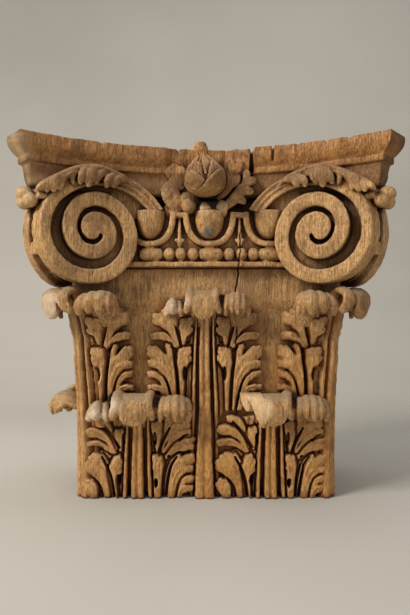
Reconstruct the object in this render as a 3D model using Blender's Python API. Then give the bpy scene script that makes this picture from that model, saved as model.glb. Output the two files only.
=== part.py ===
"""A carved oak pilaster capital: two rows of acanthus leaves, corner volutes and a hollow-sided abacus.

It is one block of wood, the front half of a square plan, cut flat behind where it meets the wall.
The row frame has +Z up and -Y to the front, with its origin at the middle of the bearing face.
Sizes are in millimetres, and to_world() turns them into Blender's metres.

Two plans are used. A face plan (a, d, z) has a along a face of the square, d out from the square's
centre and z up; each side repeats the front, turned a quarter. A leaf plan (u, n, z) has u across
the leaf from its stem, n out of the bell's core and z up.
"""

import math

import bmesh
import bpy
from mathutils import Vector

MM = 0.001

# Driving dimensions
HEIGHT = 390.0
HORN = 207.5  # the square's centre to the front of the abacus's horns
CORE = 138.0  # the square's centre to the face of the bell, between its leaves
STEM = 11.0  # how far the leaves' ribs stand out of the bell
BACK = (CORE + STEM) / 2  # y of the flat back, with the origin in the middle of the bearing face
PAST_BACK = 12.0  # every shape runs this far past the flat back before it is cut

# Abacus
ABACUS_BOTTOM = 338.0
HORN_END = 186.0  # half the chord of each hollow side
HOLLOW = 56.0  # how far each side curves in
ABACUS_PROFILE = (  # (height, set-back of the hollow sides, set-back of the cut corners)
    (HEIGHT, 1.5, 1.5),
    (386.0, 0.0, 0.0),
    (377.0, 1.0, 2.0),
    (368.0, 6.0, 10.5),
    (362.0, 6.0, 10.5),
    (359.5, 9.0, 13.5),
    (349.0, 10.5, 15.5),
    (ABACUS_BOTTOM, 13.5, 18.4),
)
HOLLOW_STEPS = 5  # facets along half of a hollow side

# Echinus: the bell's moulded lip, with its eggs, darts and beads
LIP_BOTTOM = 257.0
LIP_TOP = 317.0
LIP = 143.0
EGG_WIDTH = 30.0
EGG_TOP = 316.0
EGG_BOTTOM = 283.0
EGG_PITCH = 65.0
EGG_SHIFT = 4.0  # the middle egg of the front stands a little to the right
BEAD_Z = 269.5
BEAD_RADIUS = 6.2

# Volutes
EYE_A = 119.5
EYE_Z = 294.5
FACE_BACK = 1.0  # a volute's face follows the hollow side this far behind it
# the ribbon's outer radius, each quarter turn
SPIRAL = (56.5, 57.5, 46.7, 41.5, 32.8, 31.5, 24.6, 19.0, 12.2, 11.5)
SPIRAL_START = math.radians(-160.0)
CHANNEL_END = math.radians(480.0)
EYE_RADIUS = 11.5
FIRST_RADIUS = 80.0  # the ribbon's outer radius where it starts, near the middle of the capital
RIBBON = 15.5
CHANNEL = 8.0
PLATE = 14.0
TURN_STEPS = 16

# Leaves
LOWER_A = 74.0  # the lower leaves' stems, to each side of the middle
ROW_RISE = 113.0  # the upper row above the lower one
UPPER_SIZE = 0.8  # the upper leaves' tips, as a share of the lower ones'
CORNER_ROUND = 14.0  # radius on which a corner leaf wraps the bell

# One side of a leaf: (root, bend, tip, half width), each point as (u, z) above the leaf's own foot
LOBES = (
    ((37, -8), (46, 8), (60, 22), 8.0),
    ((34, 4), (36, 38), (58, 49), 10.0),
    ((27, 44), (33, 72), (56, 77), 10.0),
    ((25, 4), (23, 40), (25, 62), 5.5),
)
PLAIN_LOBES = (
    ((34, -8), (40, 12), (56, 30), 13.0),
    ((28, 26), (34, 62), (54, 74), 12.0),
)
# A leaf's tip, as blades that bend over: (u, half width, reach, crest, tip)
CURL = (
    (0, 15.5, 1.0, 120.0, 87.0),
    (31, 10.0, 0.9, 117.0, 90.0),
    (50, 8.5, 0.7, 111.0, 91.0),
)
CURL_REACH = 53.0
CURL_THICKNESS = 6.0


def to_world(x, y, z):
    """A point measured from the square's centre, as one in the row frame."""
    return Vector((x, y + BACK, z)) * MM


def on_face(turn, a, d, z):
    """A point on a face of the square: turn is 0 for the front, -1 for the left and 1 for the right."""
    if turn == 0:
        return to_world(a, -d, z)
    return to_world(turn * d, turn * a, z)


def face_leaf(turn, centre):
    """The leaf plan of a leaf on a flat face."""
    return lambda u, n, z: on_face(turn, centre + u, CORE + n, z)


def corner_leaf(hand):
    """The leaf plan of a leaf that wraps the bell's corner: hand is -1 at the left and 1 at the right."""
    quarter = math.pi / 4 * CORNER_ROUND
    inner = CORE - CORNER_ROUND

    def place(u, n, z):
        bend = max(-quarter, min(quarter, u)) / CORNER_ROUND
        along = u - bend * CORNER_ROUND
        angle = math.radians(225) + bend
        reach = CORNER_ROUND + n
        x = -inner + reach * math.cos(angle) + max(along, 0)
        y = -inner + reach * math.sin(angle) + max(-along, 0)
        return to_world(-hand * x, y, z)

    return place


def add_mesh(name, collection, bm):
    bmesh.ops.recalc_face_normals(bm, faces=bm.faces)
    mesh = bpy.data.meshes.new(name)
    bm.to_mesh(mesh)
    bm.free()
    obj = bpy.data.objects.new(name, mesh)
    collection.objects.link(obj)
    return obj


def loft(name, collection, rings):
    """A closed solid through rings of the same number of points."""
    bm = bmesh.new()
    rows = [[bm.verts.new(point) for point in ring] for ring in rings]
    for low, high in zip(rows, rows[1:]):
        for i in range(len(low)):
            j = (i + 1) % len(low)
            bm.faces.new((low[i], low[j], high[j], high[i]))
    bm.faces.new(rows[0])
    bm.faces.new(rows[-1])
    return add_mesh(name, collection, bm)


def bezier(root, bend, tip, t):
    return [(1 - t) ** 2 * r + 2 * t * (1 - t) * b + t * t * e for r, b, e in zip(root, bend, tip)]


def blade_width(t):
    """A blade's outline: half its width at the root, full at two thirds, round at the tip."""
    if t < 0.65:
        return 0.5 + 0.5 * math.sin(t / 0.65 * math.pi / 2)
    return math.sqrt(max(0.0, 1 - ((t - 0.65) / 0.37) ** 2))


def relief_blade(name, collection, leaf, root, bend, tip, width, sink, top=9.0, crown=3.0, steps=3):
    """A lobe that stands out of the bell: two sloping faces along a ridge, with walls down into the core."""
    rings = []
    for i in range(steps + 1):
        t = i / steps
        u, z = bezier(root, bend, tip, t)
        before = bezier(root, bend, tip, max(0.0, t - 0.05))
        after = bezier(root, bend, tip, min(1.0, t + 0.05))
        along = Vector((after[0] - before[0], after[1] - before[1])).normalized()
        w = width * blade_width(t)
        left = (u - along.y * w, z + along.x * w)
        right = (u + along.y * w, z - along.x * w)
        edge = top * (0.55 + 0.45 * math.sin(t * math.pi / 2))
        rings.append(
            (
                leaf(left[0], edge, left[1]),
                leaf(u, edge + crown, z),
                leaf(right[0], edge, right[1]),
                leaf(right[0], -sink, right[1]),
                leaf(left[0], -sink, left[1]),
            )
        )
    return loft(name, collection, rings)


def curl_path(reach, crest, tip, rise):
    """Points (n, z) of a leaf's tip as it leaves the bell, bends over at its crest and hangs down."""
    foot = 74.0
    out = reach * CURL_REACH
    points = (
        (-4.7, foot),
        (7.0, foot + 0.6 * (crest - foot)),
        (0.5 * out, crest - 4.0),
        (0.88 * out, crest - 8.0),
        (0.95 * out, tip),
    )
    return [(n, z + rise) for n, z in points]


def curl_blade(name, collection, leaf, u, width, path, thickness=CURL_THICKNESS):
    """One blade of a leaf's tip: the middle one is crowned, and the others have a ridge."""
    half = 0.5 * thickness
    crown = ((-1, -0.1), (-0.45, half), (0.45, half)) if u == 0 else ((-1, -0.1), (0, half))
    rings = []
    last = len(path) - 1
    for i, (n, z) in enumerate(path):
        before = path[max(0, i - 1)]
        after = path[min(last, i + 1)]
        along = Vector((after[0] - before[0], after[1] - before[1])).normalized()
        out = Vector((-along.y, along.x))
        w = width * (0.62 if i == last else 1.0)
        rings.append(
            [
                leaf(u + s * w, n + out.x * h, z + out.y * h)
                for s, h in crown + ((1, -0.1), (0, -half))
            ]
        )
    return loft(name, collection, rings)


def stem(name, collection, leaf, bottom, top, width, sink, flare):
    """The leaf's midrib: four ribs with grooves between them, narrower towards the top."""
    section = ((-2.4, 0.4), (-1.3, 0.2), (-0.7, 1.0), (0.0, 0.7), (0.7, 1.0), (1.3, 0.2), (2.4, 0.4))
    rings = []
    for t, lean in ((0.0, 0.0), (0.68, 0.0), (1.0, flare)):
        z = bottom + (top - bottom) * t
        w = width * (1 - 0.28 * t)
        ring = [leaf(s * w, 12.5 * h + lean, z) for s, h in section]
        rings.append(ring + [leaf(2.4 * w, -sink, z), leaf(-2.4 * w, -sink, z)])
    return loft(name, collection, rings)


def acanthus(name, collection, leaf, rise=0.0, size=1.0, lost=(), hands=(-1, 1), plain=(), flare=2.0):
    """A whole leaf. rise lifts it to its row, size scales its tip, lost names the blades broken off,
    and plain names the sides that are carved more simply."""
    stem(f"{name}_stem", collection, leaf, -4.0, rise + 104.0, 7.0, 5.0, flare)
    for hand in hands:
        side = "left" if hand < 0 else "right"
        lobes = PLAIN_LOBES if hand in plain else LOBES
        for i, (root, bend, tip, width) in enumerate(lobes[1:] if rise else lobes):
            points = [(hand * u, z + rise + 0.13 * hand) for u, z in (root, bend, tip)]
            sink = 3.0 + 0.25 * i + 0.1 * hand
            relief_blade(f"{name}_{side}_lobe_{i}", collection, leaf, *points, width, sink)
    for i, (u, width, reach, crest, tip) in enumerate(CURL):
        for hand in (1,) if u == 0 else hands:
            if (i, hand) in lost:
                continue
            path = curl_path(reach * (0.35 + 0.65 * size), crest, crest - (crest - tip) * size, rise)
            curl_blade(f"{name}_curl_{i}_{hand + 1}", collection, leaf, hand * u * size, width * size, path)


def leaves(collection):
    for turn, centres in ((0, (-LOWER_A, LOWER_A)), (-1, (LOWER_A,)), (1, (-LOWER_A,))):
        for centre in centres:
            lost = ()
            if turn == 0 and centre > 0:
                lost = ((1, -1), (2, -1))
            if turn == 1:
                lost = [(i, hand) for i in range(len(CURL)) for hand in (-1, 1)]
            plain = () if turn == 0 else (-1, 1)
            name = f"lower_{turn + 1}_{int(centre > 0)}"
            acanthus(name, collection, face_leaf(turn, centre), lost=lost, plain=plain)
    acanthus("upper_front", collection, face_leaf(0, 0.0), ROW_RISE, UPPER_SIZE)
    acanthus("upper_left", collection, face_leaf(-1, 0.0), ROW_RISE, UPPER_SIZE, hands=(1,), plain=(1,))
    acanthus("upper_right", collection, face_leaf(1, 0.0), ROW_RISE, UPPER_SIZE, hands=(-1,), plain=(-1,))
    for hand in (-1, 1):
        leaf = corner_leaf(hand)
        acanthus(f"corner_{hand + 1}", collection, leaf, ROW_RISE, UPPER_SIZE, plain=(-1,), flare=10.0)


def spiral_radius(angle):
    """The outer edge of the volute's ribbon, measured round the eye from the outer side of the volute."""
    if angle < 0:
        return SPIRAL[0] + (FIRST_RADIUS - SPIRAL[0]) * (angle / SPIRAL_START) ** 2
    quarter = min(angle / (math.pi / 2), len(SPIRAL) - 1.001)
    i = int(quarter)
    t = quarter - i
    before, start, end, after = (SPIRAL[max(0, min(len(SPIRAL) - 1, k))] for k in range(i - 1, i + 3))
    slope_in = (end - before) / 2
    slope_out = (after - start) / 2
    turn = t * t * (3 - 2 * t)
    return start + (end - start) * turn + slope_in * t * (1 - t) ** 2 - slope_out * t * t * (1 - t)


def volute_face(turn, hand, p, q, height):
    """A point on a volute's face: p from the eye to the outer side, q down from the eye, height out of it."""
    bend = 2 * HOLLOW / HORN_END**2
    a = EYE_A + p * math.cos(math.atan(bend * (EYE_A + 0.46 * p)))
    lean = math.atan(bend * a)
    d = HORN - HOLLOW * (1 - (a / HORN_END) ** 2) - FACE_BACK
    return on_face(turn, hand * (a - height * math.sin(lean)), d + height * math.cos(lean), EYE_Z - q)


def volute(name, collection, turn, hand):
    """A volute: a plate cut to its spiral, with the channel sunk between the turns of its ribbon."""
    step = 2 * math.pi / TURN_STEPS
    last = round((CHANNEL_END - SPIRAL_START) / step)

    def place(radius, i, height):
        angle = SPIRAL_START + i * step
        return volute_face(turn, hand, radius * math.cos(angle), radius * math.sin(angle), height)

    bm = bmesh.new()
    outer = [spiral_radius(SPIRAL_START + i * step) for i in range(last + TURN_STEPS + 1)]
    edge = [bm.verts.new(place(radius, i, 0.0)) for i, radius in enumerate(outer)]
    rows = []
    for i in range(last + 1):
        inner = outer[i] - RIBBON
        floor = min(inner - 1.5, outer[i + TURN_STEPS] + 1.0)
        corners = ((inner, 0.0), (inner - 1.0, -CHANNEL), (floor, -CHANNEL))
        rows.append([edge[i]] + [bm.verts.new(place(r, i, h)) for r, h in corners] + [edge[i + TURN_STEPS]])
    for low, high in zip(rows, rows[1:]):
        for k in range(4):
            bm.faces.new((low[k], low[k + 1], high[k + 1], high[k]))
    bm.faces.new(rows[-1][1:])
    middle = bm.verts.new(volute_face(turn, hand, 0.0, 0.0, 0.0))
    loop = edge[last:] + [rows[-1][1]]
    for first, second in zip(loop, loop[1:] + loop[:1]):
        bm.faces.new((first, second, middle))
    behind = [bm.verts.new(place(outer[i], i, -PLATE)) for i in range(TURN_STEPS + 1)]
    hub = bm.verts.new(place(EYE_RADIUS, TURN_STEPS // 4, -PLATE))
    for i in range(TURN_STEPS):
        bm.faces.new((edge[i], edge[i + 1], behind[i + 1], behind[i]))
        bm.faces.new((behind[i], behind[i + 1], hub))
    bm.faces.new((behind[-1], behind[0], hub))
    bm.faces.new(rows[0] + [behind[-1], behind[0]])
    add_mesh(name, collection, bm)


def volute_core(name, collection, hand):
    """The wood between the two volutes of a corner, set back from their rims."""
    rings = []
    for turn, side in ((0, hand), (hand, -hand)):
        ring = []
        for i in range(14):
            angle = 2 * math.pi * i / 14
            ring.append(volute_face(turn, side, 44.0 * math.cos(angle), 44.0 * math.sin(angle), -9.0))
        rings.append(ring)
    loft(name, collection, rings)


def horn_block(name, collection, hand):
    """The wood that joins a horn of the abacus to the volutes and the bell."""
    plan = ((40, 126), (70, 146), (163, 178), (180, 180), (178, 163), (146, 70), (126, 40), (60, 60))
    loft(name, collection, [[to_world(hand * x, -y, z) for x, y in plan] for z in (313.0, 345.0)])


def hollow_side(along, set_back):
    """A point (a, d) of a hollow side's plan, moved in at right angles by the moulding's set-back."""
    deep = HORN - HOLLOW * (1 - (along / HORN_END) ** 2)
    slope = 2 * HOLLOW * along / HORN_END**2
    away = math.hypot(1.0, slope)
    return along + set_back * slope / away, deep - set_back / away


def hollow_outline(set_back, corner_back):
    """The abacus's plan at one level, from the back right round the front to the back left."""
    cut = HORN + HORN_END - math.sqrt(2) * corner_back
    low, high = 0.0, HORN
    for _ in range(40):
        middle = (low + high) / 2
        if sum(hollow_side(middle, set_back)) < cut:
            low = middle
        else:
            high = middle
    half = [hollow_side(low * i / HOLLOW_STEPS, set_back) for i in range(HOLLOW_STEPS + 1)]
    right = [(half[0][1], -PAST_BACK)] + [(d, a) for a, d in half]
    front = [(a, d) for a, d in half[::-1]]
    left = [(-x, y) for x, y in front[:-1]][::-1] + [(-x, y) for x, y in right[::-1]]
    return right + front + left


def abacus(collection):
    rings = [[to_world(x, -y, z) for x, y in hollow_outline(b, c)] for z, b, c in ABACUS_PROFILE]
    loft("abacus", collection, rings)


def block(name, collection, half, low, high, past):
    """A square block of the bell, from the front to some way past the flat back."""
    bpy.ops.mesh.primitive_cube_add(size=1.0)
    obj = bpy.context.object
    obj.name = name
    obj.scale = Vector((2 * half, half + past, high - low)) * MM
    obj.location = to_world(0.0, (past - half) / 2, (low + high) / 2)
    bpy.context.view_layer.update()
    obj.data.transform(obj.matrix_world)
    obj.matrix_world.identity()
    for other in list(obj.users_collection):
        other.objects.unlink(obj)
    collection.objects.link(obj)
    return obj


def egg(name, collection, turn, a):
    """Half an egg on the echinus, cut flat at the top."""
    rings = []
    for z, w in ((EGG_TOP, 1.0), (303.0, 0.95), (291.0, 0.66), (EGG_BOTTOM, 0.15)):
        half = EGG_WIDTH / 2 * w
        ring = []
        for i in range(6):
            angle = math.pi * i / 5
            out = LIP - 3.0 + (14.0 * w + 3.0) * math.sin(angle)
            ring.append(on_face(turn, a - half * math.cos(angle), out, z))
        rings.append(ring)
    loft(name, collection, rings)


def shell(name, collection, turn, a):
    """The raised frame that runs down one side of an egg, under it and up the other."""
    outer = EGG_WIDTH / 2 + 9.0
    rings = []
    for i in range(9):
        t = -1 + 2 * i / 8
        angle = t * math.radians(74)
        side = math.sin(angle) / math.sin(math.radians(74))
        drop = (math.cos(angle) - math.cos(math.radians(74))) / (1 - math.cos(math.radians(74)))
        ring = []
        for grow, out in ((0.0, 8.0), (-5.0, 8.0), (-5.0, -3.0), (0.0, -3.0)):
            x = a + (outer + grow) * side
            z = EGG_TOP + 0.6 - (EGG_TOP - 277.5 + grow) * drop
            ring.append(on_face(turn, x, LIP + out, z))
        rings.append(ring)
    loft(name, collection, rings)


def dart(name, collection, turn, a):
    """The arrow between two eggs."""
    section = ((-1, 3.0), (0, 8.0), (1, 3.0), (1, -2.7), (-1, -2.7))
    rings = []
    for z, w in ((EGG_TOP - 1.0, 2.0), (292.0, 1.6), (289.0, 5.0), (279.0, 0.8)):
        rings.append([on_face(turn, a + s * w, LIP + n, z) for s, n in section])
    loft(name, collection, rings)


def bead(name, collection, turn, a, half_length):
    """A bead or a reel of the astragal, turned about the line of the moulding."""
    rings = []
    for s, w in ((-1.0, 0.45), (-0.72, 0.95), (0.72, 0.95), (1.0, 0.45)):
        ring = []
        for i in range(6):
            angle = 2 * math.pi * i / 6
            ring.append(
                on_face(
                    turn,
                    a + half_length * s,
                    LIP + 3.5 + BEAD_RADIUS * w * math.sin(angle),
                    BEAD_Z + BEAD_RADIUS * w * math.cos(angle),
                )
            )
        rings.append(ring)
    loft(name, collection, rings)


def echinus(collection):
    block("lip", collection, LIP, LIP_BOTTOM + 1.5, LIP_TOP, PAST_BACK - 1.0)
    block("lip_fillet", collection, LIP + 7.0, LIP_BOTTOM, LIP_BOTTOM + 5.5, PAST_BACK - 2.0)
    for turn in (-1, 0, 1):
        for step in (-1, 0, 1):
            if turn * step > 0:
                continue
            a = step * EGG_PITCH + (EGG_SHIFT if turn == 0 else 0.0)
            egg(f"egg_{turn + 1}_{step + 1}", collection, turn, a)
            shell(f"shell_{turn + 1}_{step + 1}", collection, turn, a)
            if turn != 0:
                continue
            bead(f"reel_{step + 1}", collection, turn, a, 12.6)
            for k in (-1, 0, 1):
                if step < 1:
                    bead(f"bead_{step + 1}_{k + 1}", collection, turn, a + EGG_PITCH / 2 + 13.0 * k, 5.9)
            if step < 1:
                dart(f"dart_{turn + 1}_{step + 1}", collection, turn, a + EGG_PITCH / 2)
        if turn != 0:
            dart(f"dart_{turn + 1}", collection, turn, -turn * EGG_PITCH / 2)
            bead(f"roll_{turn + 1}", collection, turn, -turn * 40.0, 70.0)


def volute_leaf(name, collection, turn, hand):
    """The leaf laid over a volute: three lobes and the stem along it, or at the sides the stem alone."""

    def leaf(u, n, z):
        return volute_face(turn, hand, u, -z, n + 1.0)

    blades = (
        ((-30, 61), (18, 69), (60, 34), 4.5),
        ((-38, 57), (-22, 61), (-14, 47), 7.5),
        ((-24, 58), (-2, 63), (4, 42), 8.0),
        ((8, 58), (30, 57), (36, 40), 7.0),
    )
    for i, (root, bend, tip, width) in enumerate(blades if turn == 0 else blades[:1]):
        sink = 9.0 + 0.3 * i
        relief_blade(f"{name}_{i}", collection, leaf, root, bend, tip, width, sink, top=5.0, crown=2.5)


def horn_ball(name, collection, hand):
    """The ball in which the two leaves of a corner end."""
    bm = bmesh.new()
    bmesh.ops.create_uvsphere(bm, u_segments=8, v_segments=5, radius=11.0 * MM)
    bmesh.ops.translate(bm, verts=bm.verts, vec=to_world(hand * 187.0, -187.0, 326.0))
    add_mesh(name, collection, bm)


def rim_bridge(name, collection, hand):
    """The small piece of wood left across the slot between a corner's two volutes."""
    plan = ((150, 172), (172, 150), (181, 165), (165, 181))
    loft(name, collection, [[to_world(hand * x, -y, z) for x, y in plan] for z in (268.0, 281.0)])


def fleuron(collection):
    """The bud in the middle of the abacus, with what is left of the leaves behind it."""
    bud = Vector((-1.0, -168.0, 352.0))
    rings = []
    for z, r in ((-23, 6.0), (-16, 16.5), (-5, 21.5), (6, 21.0), (17, 14.0), (26, 7.5), (36, 4.0)):
        ring = []
        for i in range(9):
            angle = 2 * math.pi * i / 9
            swell = 1.0 + 0.06 * math.cos(3 * angle)
            x, y = r * swell * math.cos(angle), r * swell * math.sin(angle)
            ring.append(to_world(bud.x + x, bud.y + y, bud.z + z))
        rings.append(ring)
    loft("bud", collection, rings)

    def leaf(u, n, z):
        return on_face(0, u, 134.0 + n, z)

    for i, (root, bend, tip, width, top) in enumerate(
        (
            ((-12, 322), (-28, 330), (-33, 352), 12.0, 24.0),
            ((-14, 350), (-24, 362), (-26, 380), 10.0, 18.0),
            ((14, 326), (34, 334), (44, 364), 9.0, 26.0),
            ((12, 344), (28, 360), (33, 388), 13.0, 20.0),
            ((-20, 312), (-16, 318), (-15, 334), 8.0, 22.0),
            ((0, 312), (-2, 318), (-4, 334), 5.5, 24.0),
            ((16, 312), (15, 318), (14, 336), 6.5, 23.0),
        )
    ):
        sink = 4.0 + 0.3 * i
        relief_blade(f"sprig_{i}", collection, leaf, root, bend, tip, width, sink, top=top, crown=3.0)


def bell(collection):
    block("bell_foot", collection, CORE, -6.0, LIP_BOTTOM + 3.0, PAST_BACK - 3.0)
    block("bell_neck", collection, 120.0, LIP_TOP - 4.0, ABACUS_BOTTOM + 4.0, PAST_BACK - 4.0)


def trim(name, collection, low, high):
    """A box that trims the carving flat."""
    bm = bmesh.new()
    bmesh.ops.create_cube(bm, size=1.0)
    for vert in bm.verts:
        vert.co = Vector((high[i] if vert.co[i] > 0 else low[i]) for i in range(3))
    obj = add_mesh(name, collection, bm)
    return obj


def wood(colour, roughness):
    material = bpy.data.materials.new("carved_oak")
    material.use_nodes = True
    shader = material.node_tree.nodes["Principled BSDF"]
    shader.inputs["Base Color"].default_value = (*colour, 1.0)
    shader.inputs["Roughness"].default_value = roughness
    shader.inputs["Metallic"].default_value = 0.0
    return material


def helpers(name):
    collection = bpy.data.collections.new(name)
    bpy.context.scene.collection.children.link(collection)
    return collection


def main():
    for obj in list(bpy.data.objects):
        bpy.data.objects.remove(obj)
    shown = helpers("pilaster_capital")
    carving = helpers("carving")
    cutters = helpers("cutters")

    bell(carving)
    leaves(carving)
    echinus(carving)
    for hand in (-1, 1):
        volute(f"volute_front_{hand + 1}", carving, 0, hand)
        volute(f"volute_side_{hand + 1}", carving, hand, -hand)
        volute_core(f"volute_core_{hand + 1}", carving, hand)
        volute_leaf(f"volute_leaf_front_{hand + 1}", carving, 0, hand)
        volute_leaf(f"volute_leaf_side_{hand + 1}", carving, hand, -hand)
        horn_block(f"horn_block_{hand + 1}", carving, hand)
        horn_ball(f"horn_ball_{hand + 1}", carving, hand)
        rim_bridge(f"rim_bridge_{hand + 1}", carving, hand)
    fleuron(carving)

    abacus(shown)
    capital = shown.objects["abacus"]
    capital.name = "capital"
    capital.data.materials.append(wood((0.42, 0.26, 0.13), 0.62))
    for obj in carving.objects:
        obj.data.materials.append(capital.data.materials[0])
    union = capital.modifiers.new("carving", "BOOLEAN")
    union.operation = "UNION"
    union.operand_type = "COLLECTION"
    union.collection = carving
    union.solver = "EXACT"

    reach = 0.3
    trim("below_bearing_face", cutters, (-reach, -reach, -0.1), (reach, reach, 0.0))
    trim("behind_flat_back", cutters, (-reach, BACK * MM, -0.2), (reach, reach, 0.5))
    cut = capital.modifiers.new("flat_faces", "BOOLEAN")
    cut.operation = "DIFFERENCE"
    cut.operand_type = "COLLECTION"
    cut.collection = cutters
    cut.solver = "EXACT"
    for obj in list(carving.objects) + list(cutters.objects):
        obj.hide_render = True
        obj.display_type = "WIRE"


main()
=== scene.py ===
"""The looks of a carved oak pilaster capital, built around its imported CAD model.

Sizes are in millimetres from the square's centre, as in the CAD: the plan is the front half of a
square, and world() turns a point into metres in the row frame. The part of a leaf that lies on the
bell is a carved skin, made from a map of heights. The other ornaments are sets of closed solids
(blades, sweeps, turned forms) that are fused by a fine remesh and softened like worn carving. Every
piece is trimmed at the flat back and the bearing face.

A leaf plan (u, n, z) has u across the leaf from its stem, n out of the bell and z up.
"""

import math

import bmesh
import bpy
import numpy as np
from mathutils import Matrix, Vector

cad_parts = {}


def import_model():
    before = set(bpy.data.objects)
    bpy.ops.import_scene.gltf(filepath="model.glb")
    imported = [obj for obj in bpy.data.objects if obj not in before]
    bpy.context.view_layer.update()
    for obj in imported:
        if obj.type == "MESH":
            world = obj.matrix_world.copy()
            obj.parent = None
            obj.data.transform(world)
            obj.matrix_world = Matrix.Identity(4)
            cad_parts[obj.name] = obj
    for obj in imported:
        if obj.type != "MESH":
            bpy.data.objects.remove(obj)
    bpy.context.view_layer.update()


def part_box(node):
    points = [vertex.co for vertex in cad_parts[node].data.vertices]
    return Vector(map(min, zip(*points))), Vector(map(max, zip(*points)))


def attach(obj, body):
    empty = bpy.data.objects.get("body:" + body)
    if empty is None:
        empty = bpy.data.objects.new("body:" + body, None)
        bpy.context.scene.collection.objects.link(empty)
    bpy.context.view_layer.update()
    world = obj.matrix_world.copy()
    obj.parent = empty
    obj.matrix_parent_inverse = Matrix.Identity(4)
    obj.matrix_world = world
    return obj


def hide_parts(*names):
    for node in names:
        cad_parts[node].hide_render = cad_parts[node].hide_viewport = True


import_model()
LOW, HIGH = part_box("capital")
MM = 0.001
rng = np.random.default_rng(11)

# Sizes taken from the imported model
BACK = HIGH.y / MM
HORN = (HIGH.y - LOW.y) / MM

# Bell and leaf rows
CORE = 138.0
LIP = 143.0
LOWER_A = 76.5
LOWER_B = 72.5
ROW_RISE = 113.0
CORNER_ROUND = 14.0
UPPER_SIZE = 0.82  # the upper row's curled tips against the lower row's
CORNER_TURN = 31.0
CORNER_SQUEEZE = 0.82
CORNER_FLARE = ((50, 110, 178, 203, 240), (0, 2.0, 6.0, 12.5, 18.0))

# Abacus
HORN_END = 186.0
HOLLOW = 56.0

# Volutes
EYE_A = 119.5
EYE_Z = 294.5
SPIRAL = (55.6, 57.0, 46.7, 41.5, 32.0, 30.4, 24.5, 20.0, 12.6, 9.6, 6.0)
SPIRAL_START = math.radians(-160.0)
CHANNEL_END = math.radians(524.0)
FIRST_RADIUS = 80.0
NARROWER = 0.27  # the ribbon's loss of width at the outer side of its first turn
CHANNEL = 10.5
DEEPER = 8.5  # the channel's further depth at the outer side
FLARE = 5.3  # a volute's outer wall leans out towards the corner of the capital
PLATE = 14.0
BACKING = 22.0
BALL_AT = 187.0
BALL_Z = 326.0

# Echinus
EGG_PITCH = 66.8
EGG_SHIFT = 4.0
BEAD_Z = 271.2
BEAD_RADIUS = 7.2
EGG_HALF = 17.2
EGG_OUT = 14.5
LIP_LIFT = 1.4

# Crack down the front: heights and its places across
CRACK = ((0, 60, 120, 190, 225, 262, 300), (34.0, 34.5, 34.5, 34.0, 33.4, 37.0, 38.5))
CRACK_DEPTH = 4.0


# ---------------------------------------------------------------- plans

def world(x, y, z):
    return np.stack(np.broadcast_arrays(x, y + BACK, z), -1) * MM


def on_face(turn, a, d, z):
    """A point on a face of the square: turn is 0 for the front, -1 for the left and 1 for the right."""
    if turn == 0:
        return world(a, -d, z)
    return world(turn * d, turn * a, z)


def face_leaf(turn, centre):
    return lambda p: on_face(turn, centre + p[..., 0], CORE + p[..., 1], p[..., 2])


def corner_leaf(hand):
    """A leaf that wraps the bell's corner; u is positive on the front's side."""
    inner = CORE - CORNER_ROUND
    quarter = math.pi / 4 * CORNER_ROUND

    def place(p):
        u, n, z = p[..., 0] * CORNER_SQUEEZE, p[..., 1], p[..., 2]
        bend = np.clip(u, -quarter, quarter) / CORNER_ROUND
        along = u - bend * CORNER_ROUND
        base = math.radians(225) + bend
        lean = math.radians(225) + np.clip(u / CORNER_TURN, -1, 1) * math.pi / 4
        n = n * 1.06 + np.interp(z, *CORNER_FLARE)
        x = -inner + CORNER_ROUND * np.cos(base) + n * np.cos(lean) + np.maximum(along, 0)
        y = -inner + CORNER_ROUND * np.sin(base) + n * np.sin(lean) + np.maximum(-along, 0)
        return world(-hand * x, y, z)

    return place


def volute_plan(turn, hand):
    """(p, height, q): p from the eye to the outer side, height out of the face, q up from the eye."""
    bow = 2 * HOLLOW / HORN_END**2

    def place(p):
        along, height, up = p[..., 0], p[..., 1], p[..., 2]
        a = EYE_A + along * np.cos(np.arctan(bow * (EYE_A + 0.46 * along)))
        lean = np.arctan(bow * a)
        d = HORN - HOLLOW * (1 - (a / HORN_END) ** 2) - 1.0
        return on_face(turn, hand * (a - height * np.sin(lean)), d + height * np.cos(lean), EYE_Z + up)

    return place


# ---------------------------------------------------------------- solids

def clamp(values):
    return np.clip(values, 0, 1)


def unit(v):
    return v / np.maximum(np.linalg.norm(v, axis=-1, keepdims=True), 1e-9)


def curve(points, steps, ease=1.0):
    """A smooth path through the points, with its samples closer together at the far end."""
    p = np.asarray(points, float)
    ends = np.vstack([2 * p[0] - p[1], p, 2 * p[-1] - p[-2]])
    t = (1 - (1 - np.linspace(0, 1, steps)) ** ease) * (len(p) - 1)
    i = np.minimum(t.astype(int), len(p) - 2)
    f = (t - i)[:, None]
    a, b, c, d = ends[i], ends[i + 1], ends[i + 2], ends[i + 3]
    return 0.5 * (2 * b + (c - a) * f + (2 * a - 5 * b + 4 * c - d) * f**2 + (3 * b - a - 3 * c + d) * f**3)


def ripple(co, size, seed=0):
    """Smooth, repeatable unevenness between -1 and 1; co is in metres and size in millimetres."""
    k = 2 * math.pi / (size * MM)
    r = np.random.default_rng(100 + seed)
    total = np.zeros(co.shape[:-1])
    for _ in range(5):
        way = unit(r.normal(size=3)) * k * r.uniform(0.6, 1.7)
        total += np.sin(co @ way + r.uniform(0, 6.28))
    return total / 2.6


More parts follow.
